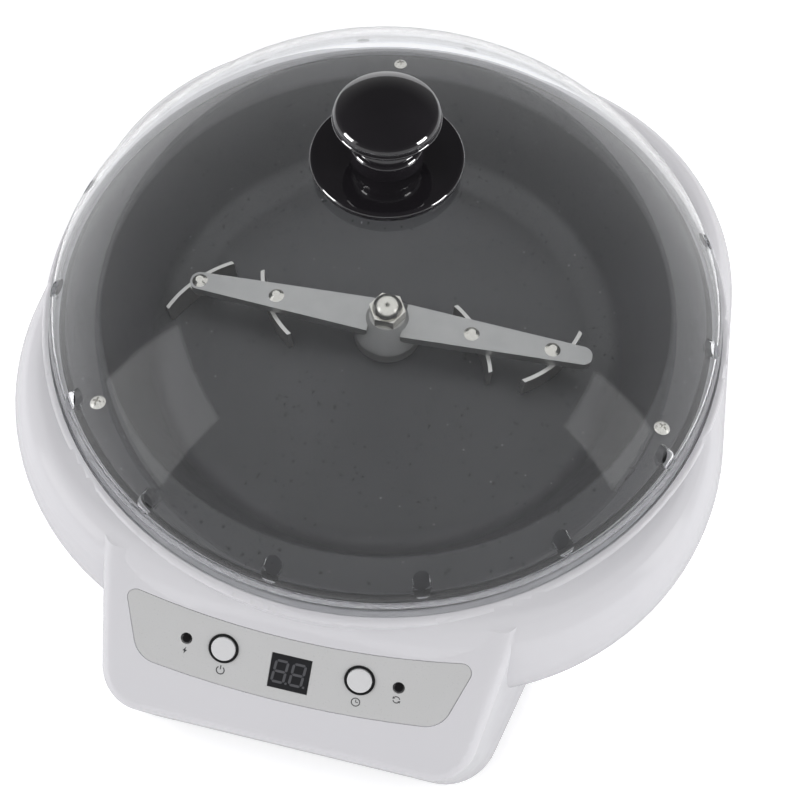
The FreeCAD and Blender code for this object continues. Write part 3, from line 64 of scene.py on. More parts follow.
# The clear dome: its lip, upright wall, rounded shoulder, long arc and flat crown, with a ring of vents
LIP_RADIUS, LIP_HEIGHT, LIP_ROUND = 126.6, 2.8, 0.5
WALL_RADIUS, WALL_TOP = 125.4, 93.0
DOME_SHEET, SHOULDER_ROUND = 2.2, 10.0
CROWN_RADIUS, CROWN_TOP = 24.8, 154.0
VENT_COUNT, VENT_RADIUS, VENT_PHASE, VENT_ABOVE_FLANGE = 16, 3.0, 18.0, 10.0

# The knob, measured from its top and its foot, and its disc
NECK_FOOT_RADIUS, NECK_RADIUS, NECK_SHOULDER = 11.5, 9.8, 1.6
CAP_LIP_RADIUS, CAP_LIP_DOWN, CAP_LIP_ROUND = 15.5, 7.9, 0.8
CAP_EDGE, CAP_CROWN = 3.2, 27.0
DISC_RADIUS, DISC_THICKNESS, DISC_ROUND = 24.2, 3.0, 1.2

# The pan's screws: their circle, where each stands, and how far each was left turned
SCREW_CIRCLE, SCREW_ANGLES, SCREW_TURNS = 114.0, (100, 220, 340), (12, 47, 71)
SCREW_HEAD, SCREW_HEAD_HEIGHT, SCREW_SHANK, SCREW_LENGTH = 2.8, 1.9, 1.5, 14.0

# The sloping control deck, and where its buttons, lamps and display stand on it
DECK_SLOPE = math.radians(36.0)
DECK_START = Vector((0.0, -134.0, 74.0))
BUTTON_ACROSS, BUTTON_UP = 23.2, -9.7
LAMP_ACROSS, LAMP_UP = 36.2, -9.2
WINDOW_UP, WINDOW_TOP = -13.1, 0.1
RING_INNER, RING_OUTER, RING_HOLE, RING_TOP = 4.45, 5.15, 5.7, 0.5
PRINT = 0.03
BUTTON_MARK_DOWN, LAMP_MARK_DOWN = 7.9, 4.3

# The display's figures: width, height, bar width, lean, the gap at a bar's ends, and each figure's place
FIGURE_WIDTH, FIGURE_HEIGHT, BAR_WIDTH, FIGURE_LEAN, BAR_GAP = 4.0, 7.6, 0.85, 0.1, 0.3
FIGURE_PLACES = (-3.3, 2.7)
POINT_AWAY, POINT_RADIUS = 0.95, 0.42

# The photograph's camera: where it stands, what it looks at, its turn and its lens
CAMERA_PLACE = Vector((42.0, -168.6, 361.6))
CAMERA_AIM = Vector((15.74, -35.36, 88.0))
CAMERA_ROLL = math.radians(1.55)
CAMERA_LENS = 38.76

# The studio: half the floor's side, the soft light ahead and overhead, the stronger light from both sides,
# the horizon and ceiling that mirrors see, and the floor's own glow for the eye and for mirrors
FLOOR_HALF = 6.0
AHEAD_LIGHT, SIDE_LIGHT = 0.3, 2.0
MIRRORED_HORIZON, CEILING = 0.18, 0.05
FLOOR_GLOW, FLOOR_GLOW_MIRRORED = 0.5, 0.05


def linear(code):
    """Linear colour of an sRGB hex code."""
    values = []
    for place in (0, 2, 4):
        level = int(code[place:place + 2], 16) / 255
        values.append(level / 12.92 if level <= 0.04045 else ((level + 0.055) / 1.055) ** 2.4)
    return (*values, 1.0)


def add_node(tree, kind, links=None, values=None, **settings):
    """Add a node with its settings, its socket values and its incoming links."""
    made = tree.nodes.new(kind)
    for name, setting in settings.items():
        setattr(made, name, setting)
    for socket, value in (values or {}).items():
        made.inputs[socket].default_value = value
    for socket, source in (links or {}).items():
        tree.links.new(source, made.inputs[socket])
    return made


def new_material(name, colour, roughness, **sockets):
    """Material with one Principled shader; other sockets are given by their names."""
    material = bpy.data.materials.new(name)
    material.use_nodes = True
    tree = material.node_tree
    shader = tree.nodes["Principled BSDF"]
    shader.inputs["Base Color"].default_value = linear(colour)
    shader.inputs["Roughness"].default_value = roughness
    for socket, value in sockets.items():
        shader.inputs[socket.replace("_", " ")].default_value = value
    return material, tree, shader


def object_place(tree):
    return add_node(tree, "ShaderNodeTexCoord").outputs["Object"]


def grain(tree, place, size, detail=2.0):
    """Noise whose lumps are about size millimetres across."""
    values = {"Scale": 1 / (size * MM), "Detail": detail}
    return add_node(tree, "ShaderNodeTexNoise", {"Vector": place}, values).outputs["Fac"]


def cells(tree, place, size):
    """Distance from the middle of the nearest cell, for cells about size millimetres across."""
    values = {"Scale": 1 / (size * MM)}
    return add_node(tree, "ShaderNodeTexVoronoi", {"Vector": place}, values).outputs["Distance"]


def between(tree, source, low, high, from_low=0.0, from_high=1.0):
    """Map a value into a new range."""
    values = {"From Min": from_low, "From Max": from_high, "To Min": low, "To Max": high}
    return add_node(tree, "ShaderNodeMapRange", {"Value": source}, values).outputs["Result"]


def two_colours(tree, share, first, second):
    """Blend of two hex colours by a share from 0 to 1."""
    mix = add_node(tree, "ShaderNodeMix", data_type="RGBA")
    mix.inputs["A"].default_value = linear(first)
    mix.inputs["B"].default_value = linear(second)
    tree.links.new(share, mix.inputs["Factor"])
    return mix.outputs["Result"]


def drift(tree, shader, place, size, first, second):
    """Let the base colour wander between two hex colours in soft clouds."""
    tree.links.new(two_colours(tree, grain(tree, place, size), first, second), shader.inputs["Base Color"])


def spread(tree, shader, place, size, low, high):
    """Let the roughness wander between two values."""
    tree.links.new(between(tree, grain(tree, place, size), low, high), shader.inputs["Roughness"])


def relief(tree, shader, height, depth, strength=1.0):
    """Bump of a given depth in millimetres."""
    bump = add_node(tree, "ShaderNodeBump", {"Height": height}, {"Distance": depth * MM, "Strength": strength})
    tree.links.new(bump.outputs["Normal"], shader.inputs["Normal"])


def gloss_abs(name, colour, shade):
    """Injection-moulded ABS: a near-mirror skin with the faint waviness of a polished mould."""
    material, tree, shader = new_material(
        name, colour, 0.16, IOR=1.54, Coat_Weight=0.35, Coat_Roughness=0.05)
    place = object_place(tree)
    drift(tree, shader, place, 60.0, colour, shade)
    spread(tree, shader, place, 9.0, 0.13, 0.2)
    relief(tree, shader, grain(tree, place, 22.0, 1.0), 0.05, 0.3)
    return material


def matt_plastic(name, colour, shade):
    """Spark-textured moulding: a fine even grain that breaks up the light."""
    material, tree, shader = new_material(name, colour, 0.5, IOR=1.5)
    place = object_place(tree)
    drift(tree, shader, place, 14.0, colour, shade)
    spread(tree, shader, place, 3.0, 0.42, 0.6)
    relief(tree, shader, grain(tree, place, 0.5), 0.05, 0.6)
    return material


def pan_coating():
    """Sprayed non-stick coating on aluminium: satin grey, with dark and pale flecks and orange peel."""
    material, tree, shader = new_material("sprayed_nonstick_coating", "404043", 0.38, IOR=1.45)
    place = object_place(tree)
    dark = cells(tree, place, 4.0)
    pale = cells(tree, place, 6.5)
    cloud = two_colours(tree, grain(tree, place, 18.0, 4.0), "3B3B3D", "454548")
    dark_spot = between(tree, dark, 1.0, 0.0, 0.08, 0.2)
    pale_spot = between(tree, pale, 1.0, 0.0, 0.03, 0.08)
    mix = add_node(tree, "ShaderNodeMix", {"Factor": dark_spot, "A": cloud}, data_type="RGBA")
    mix.inputs["B"].default_value = linear("1E1E20")
    below = {"Factor": pale_spot, "A": mix.outputs["Result"]}
    fleck = add_node(tree, "ShaderNodeMix", below, data_type="RGBA")
    fleck.inputs["B"].default_value = linear("77777B")
    tree.links.new(fleck.outputs["Result"], shader.inputs["Base Color"])
    spread(tree, shader, place, 5.0, 0.32, 0.44)
    relief(tree, shader, grain(tree, place, 1.1), 0.06, 0.5)
    return material


def metal(name, colour, shade, roughness, grit):
    """Bare metal: its colour drifts a little and fine scratches spread the shine."""
    material, tree, shader = new_material(name, colour, roughness, Metallic=1.0)
    place = object_place(tree)
    drift(tree, shader, place, 7.0, colour, shade)
    spread(tree, shader, place, grit, roughness * 0.7, roughness * 1.4)
    relief(tree, shader, grain(tree, place, grit), 0.02, 0.3)
    return material


def clear_plastic():
    """Blown polycarbonate: colourless, mirror smooth, with the faintest ripple from blowing."""
    material, tree, shader = new_material(
        "clear_blown_polycarbonate", "FDFEFF", 0.0, IOR=1.12, Transmission_Weight=1.0,
        Coat_Weight=0.7, Coat_Roughness=0.0, Coat_IOR=1.45)
    relief(tree, shader, grain(tree, object_place(tree), 40.0, 0.0), 0.05, 0.12)
    return material


def black_gloss():
    """Polished phenolic: deep black with a hard clear shine."""
    material, tree, shader = new_material(
        "polished_black_phenolic", "151416", 0.08, IOR=1.5, Coat_Weight=1.0, Coat_Roughness=0.02, Coat_IOR=1.5)
    place = object_place(tree)
    drift(tree, shader, place, 12.0, "141315", "1B191C")
    spread(tree, shader, place, 6.0, 0.05, 0.11)
    return material


def soft_rubber():
    """Moulded silicone: matt black that shows dust as paler patches."""
    material, tree, shader = new_material("moulded_black_silicone", "0E0E10", 0.6, IOR=1.4)
    place = object_place(tree)
    drift(tree, shader, place, 4.0, "0C0C0D", "151517")
    relief(tree, shader, grain(tree, place, 0.8), 0.04, 0.5)
    return material


def printed_sheet():
    """Printed polycarbonate sheet: pale grey under a satin hard coat."""
    material, tree, shader = new_material("printed_polycarbonate_sheet", "D9D9D9", 0.28, IOR=1.55)
    place = object_place(tree)
    drift(tree, shader, place, 20.0, "D8D8D8", "DDDDDE")
    spread(tree, shader, place, 0.6, 0.24, 0.34)
    relief(tree, shader, grain(tree, place, 0.45), 0.01, 0.3)
    return material


def smoked_window():
    """Smoked acrylic: near black, with a mirror skin and a hint of the block behind it."""
    material, tree, shader = new_material("smoked_acrylic", "2B2B2E", 0.06, IOR=1.49, Coat_Weight=0.5)
    drift(tree, shader, object_place(tree), 6.0, "29292B", "303033")
    return material


def unlit_segment():
    """Unlit display bar: milky grey, dimmed as the smoked acrylic dims it."""
    material, tree, shader = new_material("unlit_segment", "6C6C70", 0.3)
    drift(tree, shader, object_place(tree), 1.5, "5C5C60", "66666A")
    return material


def ink():
    """Screen-printed ink: flat dark grey, a few microns thick."""
    material, tree, shader = new_material("screen_printed_ink", "4A4A4D", 0.45)
    drift(tree, shader, object_place(tree), 0.7, "454548", "525255")
    return material


def solder_mask():
    """Green solder mask over copper: glossy, darker between the tracks."""
    material, tree, shader = new_material("green_solder_mask", "14532D", 0.25)
    drift(tree, shader, object_place(tree), 2.0, "0F4526", "1B6338")
    return material


MATERIALS = {
    "white_abs": gloss_abs("glossy_white_abs", "F1F0F4", "ECEBF0"),
    "button_white": gloss_abs("glossy_button_abs", "F0F0F2", "EBEBED"),
    "grey_plastic": matt_plastic("spark_textured_grey_abs", "8D8D90", "838386"),
    "black_plastic": matt_plastic("spark_textured_black_nylon", "1D1D1F", "171719"),
    "black_rubber": soft_rubber(),
    "black_silicone": soft_rubber(),
    "pan_coating": pan_coating(),
    "steel": metal("bright_zinc_steel", "D8D6CF", "C6C4BE", 0.22, 0.6),
    "steel_sheet": metal("pressed_stainless", "C9C8C5", "BDBCB9", 0.3, 0.4),
    "heater_steel": metal("heat_tinted_steel", "6E675F", "5A5450", 0.4, 0.8),
    "motor_steel": metal("zinc_plated_can", "B9BAB8", "ABACAB", 0.32, 0.9),
    "aluminium_sheet": metal("mill_aluminium", "D4D5D6", "C6C7C9", 0.34, 0.5),
    "cast_aluminium": metal("blasted_cast_aluminium", "B4B4B3", "A6A6A6", 0.45, 0.7),
    "brass": metal("turned_brass", "C9A566", "BC9756", 0.3, 0.5),
    "panel_grey": printed_sheet(),
    "smoked_acrylic": smoked_window(),
    "board_green": solder_mask(),
    "dark_lamp": black_gloss(),
    "clear_dome": clear_plastic(),
    "knob_black": black_gloss(),
}
INK = ink()
SEGMENT = unlit_segment()
SLOT_OF = {part["node"]: part["material_slot"] for part in frame["record"]["subparts"]}
BODY_OF = {node: body for body, nodes in frame["record"]["behaviour"]["bodies"].items() for node in nodes}


def smooth_over(target, angle=32.0):
    """Shade a mesh smooth, with creases where its faces meet at more than the angle."""
    mesh = target.data
    mesh.polygons.foreach_set("use_smooth", [True] * len(mesh.polygons))
    mesh.set_sharp_from_angle(angle=math.radians(angle))


def make_piece(name, form, node=None, slot=None, body=None, material=None, crease=32.0):
    """Turn a bmesh in millimetres about the pan's axis into a finished piece in the shared frame."""
    mesh = bpy.data.meshes.new(name)
    form.to_mesh(mesh)
    form.free()
    mesh.transform(Matrix.Translation((0, AXIS_Y * MM, 0)) @ Matrix.Scale(MM, 4))
    made = bpy.data.objects.new(name, mesh)
    bpy.context.scene.collection.objects.link(made)
    smooth_over(made, crease)
    slot = slot or SLOT_OF[node]
    mesh.materials.append(material or MATERIALS[slot])
    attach(made, body or BODY_OF[node])
    if node:
        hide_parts(node)
    return made


def arc(centre_r, centre_z, radius, start, end, steps=8):
    """Points of an arc in a section, with angles in degrees from the outward direction."""
    points = []
    for index in range(steps + 1):
        angle = math.radians(start + (end - start) * index / steps)
        points.append((centre_r + radius * math.cos(angle), centre_z + radius * math.sin(angle)))
    return points


def spun(points, steps=192):
    """Spin a closed section of (radius, height) points about the z axis."""
    form = bmesh.new()
    corners = [form.verts.new((r, 0, z)) for r, z in points]
    edges = [form.edges.new(pair) for pair in zip(corners, corners[1:])]
    edges.append(form.edges.new((corners[-1], corners[0])))
    bmesh.ops.spin(
        form, geom=corners + edges, cent=(0, 0, 0), axis=(0, 0, 1), angle=2 * math.pi, steps=steps,
        use_merge=True)
    bmesh.ops.remove_doubles(form, verts=form.verts, dist=0.001)
    bmesh.ops.recalc_face_normals(form, faces=form.faces)
    return form


def cut_away(piece, cutters):
    """Cut a group of closed forms out of a piece, and bake the result into its mesh."""
    mesh = bpy.data.meshes.new(piece.name + "_cutter")
    cutters.to_mesh(mesh)
    cutters.free()
    mesh.transform(Matrix.Translation((0, AXIS_Y * MM, 0)) @ Matrix.Scale(MM, 4))
    cutter = bpy.data.objects.new(mesh.name, mesh)
    bpy.context.scene.collection.objects.link(cutter)
    cut = piece.modifiers.new("cut", "BOOLEAN")
    cut.operation = "DIFFERENCE"
    cut.solver = "EXACT"
    cut.object = cutter
    bpy.context.view_layer.update()
    result = bpy.data.meshes.new_from_object(piece.evaluated_get(bpy.context.evaluated_depsgraph_get()))
    piece.modifiers.remove(cut)
    old = piece.data
    piece.data = result
    bpy.data.meshes.remove(old)
    bpy.data.objects.remove(cutter)
    smooth_over(piece)


def roasting_pan():
    """Spun dish with its flange, rolled edge, sloping wall and chimney."""
    sheet = PAN_SHEET
    run = PAN_MOUTH_RADIUS - PAN_FLOOR_RADIUS
    depth = FLANGE_TOP - PAN_FLOOR
    lean = math.degrees(math.atan2(run, depth))
    turn = (90 - lean) / 2
    centre_r = PAN_FLOOR_RADIUS - PAN_FLOOR_ROUND * math.tan(math.radians(turn))
    centre_z = PAN_FLOOR + PAN_FLOOR_ROUND
    edge = 0.55
    points = []
    points += arc(FLANGE_RADIUS - edge, FLANGE_TOP - edge, edge, 0, 90, 5)
    points += [(r, FLANGE_TOP) for r in (FLANGE_RADIUS - 2, FLANGE_RADIUS - 6, FLANGE_RADIUS - 9.5)]
    lip = 1.6
    points += arc(PAN_MOUTH_RADIUS + lip * 0.75, FLANGE_TOP - lip, lip, 90, 180 - lean, 6)
    points += arc(centre_r, centre_z, PAN_FLOOR_ROUND, -lean, -90, 12)
    points += [(r, PAN_FLOOR) for r in (60.0, 30.0, 13.0)]
    points += arc(CHIMNEY_RADIUS + 3, PAN_FLOOR + 3, 3, -90, -180, 5)
    points += arc(CHIMNEY_RADIUS - 0.6, CHIMNEY_TOP - 0.6, 0.6, 0, 90, 3)
    bore = CHIMNEY_RADIUS - sheet
    points += [(bore, CHIMNEY_TOP), (bore, PAN_FLOOR - sheet)]
    points += arc(centre_r, centre_z, PAN_FLOOR_ROUND + sheet, -90, -lean, 12)
    under = FLANGE_TOP - sheet
    points += [(PAN_MOUTH_RADIUS + sheet, under - 1.2), (PAN_MOUTH_RADIUS + 2 * sheet, under)]
    points.append((FLANGE_RADIUS, under))
    make_piece("roasting_pan_dish", spun(points, 256), "roasting_pan")


def seal_ring():
    """Heat-proof ring under the pan's flange, with its outer edge rounded."""
    low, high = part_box("pan_seal")
    outer = (high[0] - low[0]) / 2 / MM
    top = high[2] / MM
    bottom = low[2] / MM
    points = [(110.0, bottom), (outer, bottom)] + arc(outer - 1, top - 1, 1.0, 0, 90, 5) + [(110.0, top)]
    make_piece("heatproof_seal_ring", spun(points), "pan_seal")


def lid_sections(inset):
    """Outer or inner section of the dome, from the lip's foot to the crown."""
    squares = CROWN_TOP ** 2 + CROWN_RADIUS ** 2 - WALL_TOP ** 2 - WALL_RADIUS ** 2
    lift = squares / (2 * (CROWN_TOP - WALL_TOP))
    sweep = math.hypot(WALL_RADIUS, WALL_TOP - lift)
    run = WALL_RADIUS - SHOULDER_ROUND
    turn_z = lift + math.sqrt((sweep - SHOULDER_ROUND) ** 2 - run ** 2)
    tilt = math.degrees(math.atan2(turn_z - lift, run))
    points = arc(run, turn_z, SHOULDER_ROUND - inset, 0, tilt, 8)
    flat_top = CROWN_TOP - inset
    end = math.degrees(math.asin((flat_top - lift) / (sweep - inset)))
    points += arc(0, lift, sweep - inset, tilt, end, 40)[1:]
    points.append((0, flat_top))
    return points


def lid_dome():
    """Clear dome: stepped lip, upright wall, long arc and sixteen vent holes."""
    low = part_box("lid_dome")[0][2] / MM
    lip_top = low + LIP_HEIGHT
    rim = LIP_RADIUS - LIP_ROUND
    outer = arc(rim, low + 0.5, LIP_ROUND, -90, 0, 3) + arc(rim, low + 1.25, LIP_ROUND, 0, 60, 3)
    outer += arc(rim, lip_top - 0.5, LIP_ROUND, -60, 90, 5)
    outer += [(WALL_RADIUS + 0.25, lip_top), (WALL_RADIUS, lip_top + 0.25)]
    outer += lid_sections(0.0)
    inner = lid_sections(DOME_SHEET)
    inner.reverse()
    inner += [(WALL_RADIUS - DOME_SHEET, low + 0.3), (WALL_RADIUS - DOME_SHEET + 0.3, low)]
    dome = make_piece("clear_lid_dome", spun(outer + inner, 256), "lid_dome")
    vents = bmesh.new()
    place = Matrix.Translation((WALL_RADIUS - 3.4, 0, FLANGE_TOP + VENT_ABOVE_FLANGE))
    across = place @ Matrix.Rotation(math.pi / 2, 4, "Y")
    for index in range(VENT_COUNT):
        turn = Matrix.Rotation(math.radians(VENT_PHASE + 360.0 / VENT_COUNT * index), 4, "Z")
        bmesh.ops.create_cone(
            vents, cap_ends=True, segments=40, radius1=VENT_RADIUS, radius2=VENT_RADIUS, depth=30.0,
            matrix=turn @ across)
    cut_away(dome, vents)


def knob():
    """Turned knob: shouldered neck, rolled lip and domed cap, on its disc."""
    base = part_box("knob")[0][2] / MM
    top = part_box("knob")[1][2] / MM
    lip_z = top - CAP_LIP_DOWN
    points = [(0, base), (NECK_FOOT_RADIUS, base)]
    points += arc(NECK_FOOT_RADIUS - NECK_SHOULDER, base + 4.6, NECK_SHOULDER, 0, 80, 6)
    points += [(NECK_RADIUS, base + 6.8)] + arc(NECK_RADIUS + 3.2, lip_z - 4.0, 3.2, 180, 100, 6)
    points += arc(CAP_LIP_RADIUS, lip_z, CAP_LIP_ROUND, -90, 60, 7)
    edge_r = CAP_LIP_RADIUS + 0.4 - CAP_EDGE
    inside = CAP_CROWN - CAP_EDGE
    edge_z = top - CAP_CROWN + math.sqrt(inside ** 2 - edge_r ** 2)
    meet = math.degrees(math.acos(edge_r / inside))
    points += arc(edge_r, edge_z, CAP_EDGE, 8, meet, 12)
    points += arc(0, top - CAP_CROWN, CAP_CROWN, meet, 90, 16)[1:]
    make_piece("knob_turned", spun(points, 160), "knob")
    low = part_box("knob_base")[0][2] / MM
    points = [(0, low), (DISC_RADIUS - 0.4, low)] + arc(DISC_RADIUS - 0.7, low + 0.9, 0.7, -60, 0, 3)
    points += arc(DISC_RADIUS - DISC_ROUND, low + DISC_THICKNESS - DISC_ROUND, DISC_ROUND, 0, 90, 6)
    make_piece("knob_disc", spun(points + [(0, low + DISC_THICKNESS)], 160), "knob_base")


def copies(make, places):
    """One form out of several copies, each at its own place."""
    whole = bmesh.new()
    for place in places:
        single = make()
        bmesh.ops.transform(single, matrix=place, verts=single.verts)
        mesh = bpy.data.meshes.new("copy")
        single.to_mesh(mesh)
        single.free()
        whole.from_mesh(mesh)
        bpy.data.meshes.remove(mesh)
    return whole


def raised(grown):
    """The corners that an extrusion has made."""
    return [item for item in grown if isinstance(item, bmesh.types.BMVert)]


def prism(corners, bottom, top, shrink):
    """Solid under a flat outline, with its lower end drawn in towards the middle."""
    form = bmesh.new()
    face = form.faces.new([form.verts.new((x, y, top)) for x, y in corners])
    lower = raised(bmesh.ops.extrude_face_region(form, geom=[face])["geom"])
    bmesh.ops.scale(form, vec=(shrink, shrink, 1), verts=lower)
    bmesh.ops.translate(form, vec=(0, 0, bottom - top), verts=lower)
    bmesh.ops.recalc_face_normals(form, faces=form.faces)
    return form


def cross_outline(reach, half_width):
    """Outline of a driver's cross."""
    arm = ((reach, -half_width), (reach, half_width), (half_width, half_width))
    corners = []
    for quarter in range(4):
        turn = Matrix.Rotation(math.radians(90 * quarter), 2)
        corners += [turn @ Vector(corner) for corner in arm]
    return [(corner.x, corner.y) for corner in corners]


def panhead(head_r, head_h, shank_r, length):
    """Pan-head screw with its head's seat at height 0 and its point below."""
    brim = head_h * 0.3
    crown = head_h - brim
    dome_r = (head_r ** 2 + crown ** 2) / (2 * crown)
    start = math.degrees(math.asin((dome_r - crown) / dome_r))
    points = [(0, -length), (shank_r * 0.6, -length), (shank_r, -length + 1.0), (shank_r, 0), (head_r, 0)]
    return spun(points + arc(0, head_h - dome_r, dome_r, start, 90, 8), 40)


def pan_screws():
    """The pan's three screws, each with its cross recess turned its own way."""
    out = Matrix.Translation((SCREW_CIRCLE, 0, FLANGE_TOP))
    places = []
    for angle, turn in zip(SCREW_ANGLES, SCREW_TURNS):
        round_pan, own = (Matrix.Rotation(math.radians(degrees), 4, "Z") for degrees in (angle, turn))
        places.append(round_pan @ out @ own)
    screw = copies(lambda: panhead(SCREW_HEAD, SCREW_HEAD_HEIGHT, SCREW_SHANK, SCREW_LENGTH), places)
    piece = make_piece("pan_screws_crosshead", screw, "pan_screws")
    outline = cross_outline(SCREW_HEAD * 0.62, SCREW_HEAD * 0.14)
    floor, mouth = SCREW_HEAD_HEIGHT * 0.35, SCREW_HEAD_HEIGHT + 1.0
    cut_away(piece, copies(lambda: prism(outline, floor, mouth, 0.75), places))


def on_deck(x, y, z=0.0):
    """A place on the sloping deck: across it, up its slope and out of it."""
    return Matrix.Translation(DECK_START) @ Matrix.Rotation(DECK_SLOPE, 4, "X") @ Matrix.Translation((x, y, z))


def button_rings():
    """Thin black bezel round each button, in the overlay's hole."""
    for side, name in ((-1, "power"), (1, "timer")):
        place = on_deck(side * BUTTON_ACROSS, BUTTON_UP)
        points = [(RING_INNER, -0.5), (RING_OUTER, -0.5)] + arc(RING_OUTER - 0.3, RING_TOP - 0.3, 0.3, 0, 90, 5)
        points += arc(RING_INNER + 0.15, RING_TOP - 0.15, 0.15, 90, 180, 3)
        make_piece(name + "_bezel", copies(lambda: spun(points, 96), [place]), name + "_button_ring")
        margin = [(RING_OUTER, -0.4), (RING_HOLE, -0.4), (RING_HOLE, 0.02), (RING_OUTER, 0.02)]
        strip_of_sheet = copies(lambda: spun(margin, 96), [place])
        make_piece(name + "_bezel_margin", strip_of_sheet, slot="panel_grey", body="housing")


def bar(x, y, length, upright):
    """Outline of a display bar: long, narrow and pointed at both ends."""
    half, side = length / 2, BAR_WIDTH / 2
    flank = half - side
    corners = [(half, 0), (flank, side), (-flank, side), (-half, 0), (-flank, -side), (flank, -side)]
    if upright:
        corners = [(-b, a) for a, b in corners]
    return [(x + a, y + b) for a, b in corners]


def display_digits():
    """Two unlit figures of seven bars and a point each, leaning a little, on the window's face."""
    wide, tall = FIGURE_WIDTH, FIGURE_HEIGHT
    bars = [bar(0, tall / 2 * side, wide - BAR_GAP, False) for side in (-1, 0, 1)]
    for x in (-1, 1):
        bars += [bar(wide / 2 * x, tall / 4 * y, tall / 2 - BAR_GAP, True) for y in (-1, 1)]
    steps = [step * math.pi / 6 for step in range(12)]
    middle = wide / 2 + POINT_AWAY
    bars.append([(middle + POINT_RADIUS * math.cos(a), -tall / 2 + POINT_RADIUS * math.sin(a)) for a in steps])
    whole = bmesh.new()
    for corners in bars:
        for shift in FIGURE_PLACES:
            whole.faces.new([whole.verts.new((x + FIGURE_LEAN * y + shift, y, 0)) for x, y in corners])
    thicken(whole, PRINT, on_deck(0, WINDOW_UP, WINDOW_TOP))
    make_piece("display_bars", whole, slot="smoked_acrylic", body="housing", material=SEGMENT)


def thicken(form, depth, place):
    """Give flat faces a thickness and put them at their place."""
    upper = raised(bmesh.ops.extrude_face_region(form, geom=list(form.faces))["geom"])
    bmesh.ops.translate(form, vec=(0, 0, depth), verts=upper)
    bmesh.ops.recalc_face_normals(form, faces=form.faces)
    bmesh.ops.transform(form, matrix=place, verts=form.verts)


def band(radius, width, start, end, steps=32):
    """Quads of a flat band that follows an arc, as outlines."""
    quads = []
    inner, outer = radius - width / 2, radius + width / 2
    for index in range(steps):
        a, b = (math.radians(start + (end - start) * (index + extra) / steps) for extra in (0, 1))
        sides = ((inner, a), (outer, a), (outer, b), (inner, b))
        quads.append([(reach * math.cos(turn), reach * math.sin(turn)) for reach, turn in sides])
    return quads


def strip(start, end, width):
    """Outline of a straight printed line."""
    start, end = Vector(start), Vector(end)
    run = end - start
    side = Vector((-run.y, run.x)).normalized() * width / 2
    return [tuple(corner) for corner in (start - side, end - side, end + side, start + side)]


def printed(name, outlines, x, y):
    """Printed mark on the overlay."""
    form = bmesh.new()
    for corners in outlines:
        form.faces.new([form.verts.new((a, b, 0)) for a, b in corners])
    bmesh.ops.remove_doubles(form, verts=form.verts, dist=0.0005)
    thicken(form, PRINT, on_deck(x, y))
    make_piece(name, form, slot="panel_grey", body="housing", material=INK)


def pictograms():
    """Plain marks below the lamps and buttons: mains, on and off, timer and turning."""
    bolt = [[(0.35, 1.3), (-0.75, -0.2), (0.05, -0.2)], [(-0.35, -1.3), (0.75, 0.2), (-0.05, 0.2)]]
    printed("mark_mains", bolt, -LAMP_ACROSS, LAMP_UP - LAMP_MARK_DOWN)
    switch = band(1.35, 0.36, 125, 415) + [strip((0, 0.35), (0, 1.75), 0.36)]
    printed("mark_on_off", switch, -BUTTON_ACROSS, BUTTON_UP - BUTTON_MARK_DOWN)
    clock = band(1.4, 0.32, 0, 360) + [strip((0, -0.1), (0, 0.95), 0.26), strip((0.14, 0), (0.8, 0), 0.24)]
    printed("mark_timer", clock, BUTTON_ACROSS, BUTTON_UP - BUTTON_MARK_DOWN)
    arrows = []
    for turn in (0, 180):
        way = math.radians(turn + 140)
        out = Vector((math.cos(way), math.sin(way)))
        ahead = Vector((-out.y, out.x))
        tip = out * 1.1
        arrows += band(1.1, 0.3, turn + 15, turn + 138, 16)
        arrows.append([tuple(tip + out * 0.5), tuple(tip + ahead * 0.75), tuple(tip - out * 0.5)])
    printed("mark_turning", arrows, LAMP_ACROSS, LAMP_UP - LAMP_MARK_DOWN)


def dress_cad_nodes():
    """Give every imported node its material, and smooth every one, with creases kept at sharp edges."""
    for name, node in frame["nodes"].items():
        node.data.materials.clear()
        node.data.materials.append(MATERIALS[SLOT_OF[name]])
        node.data.polygons.foreach_set("use_smooth", [True] * len(node.data.polygons))
        weld = node.modifiers.new("weld", "WELD")
        weld.merge_threshold = 0.01 * MM
        split = node.modifiers.new("creases", "EDGE_SPLIT")
        split.split_angle = math.radians(28.0)
        weighted = node.modifiers.new("even_shading", "WEIGHTED_NORMAL")
        weighted.weight = 80


def softbox(name, bearing, lift, distance, width, height, glow):
    """Soft box at a bearing and a height angle round the roaster, with its brightness in a mirror."""
    turn, rise = math.radians(bearing), math.radians(lift)
    way = Vector((math.cos(turn) * math.cos(rise), math.sin(turn) * math.cos(rise), math.sin(rise)))
    middle = Vector((0, AXIS_Y * MM, 0.1))
    light = bpy.data.lights.new(name, "AREA")
    light.shape = "RECTANGLE"
    light.size = width
    light.size_y = height
    light.energy = glow * math.pi * width * height
    made = bpy.data.objects.new(name, light)
    made.location = middle + way * distance
    made.rotation_euler = (-way).to_track_quat("-Z", "Y").to_euler()
    bpy.context.scene.collection.objects.link(made)
    return made


def sees_backdrop(tree):
    """1 for rays that show the backdrop itself: camera, mirror and see-through rays."""
    path = add_node(tree, "ShaderNodeLightPath").outputs
    first = {0: path["Is Camera Ray"], 1: path["Is Glossy Ray"]}
    either = add_node(tree, "ShaderNodeMath", first, operation="MAXIMUM").outputs[0]
    second = {0: either, 1: path["Is Transmission Ray"]}
    return add_node(tree, "ShaderNodeMath", second, operation="MAXIMUM").outputs[0]


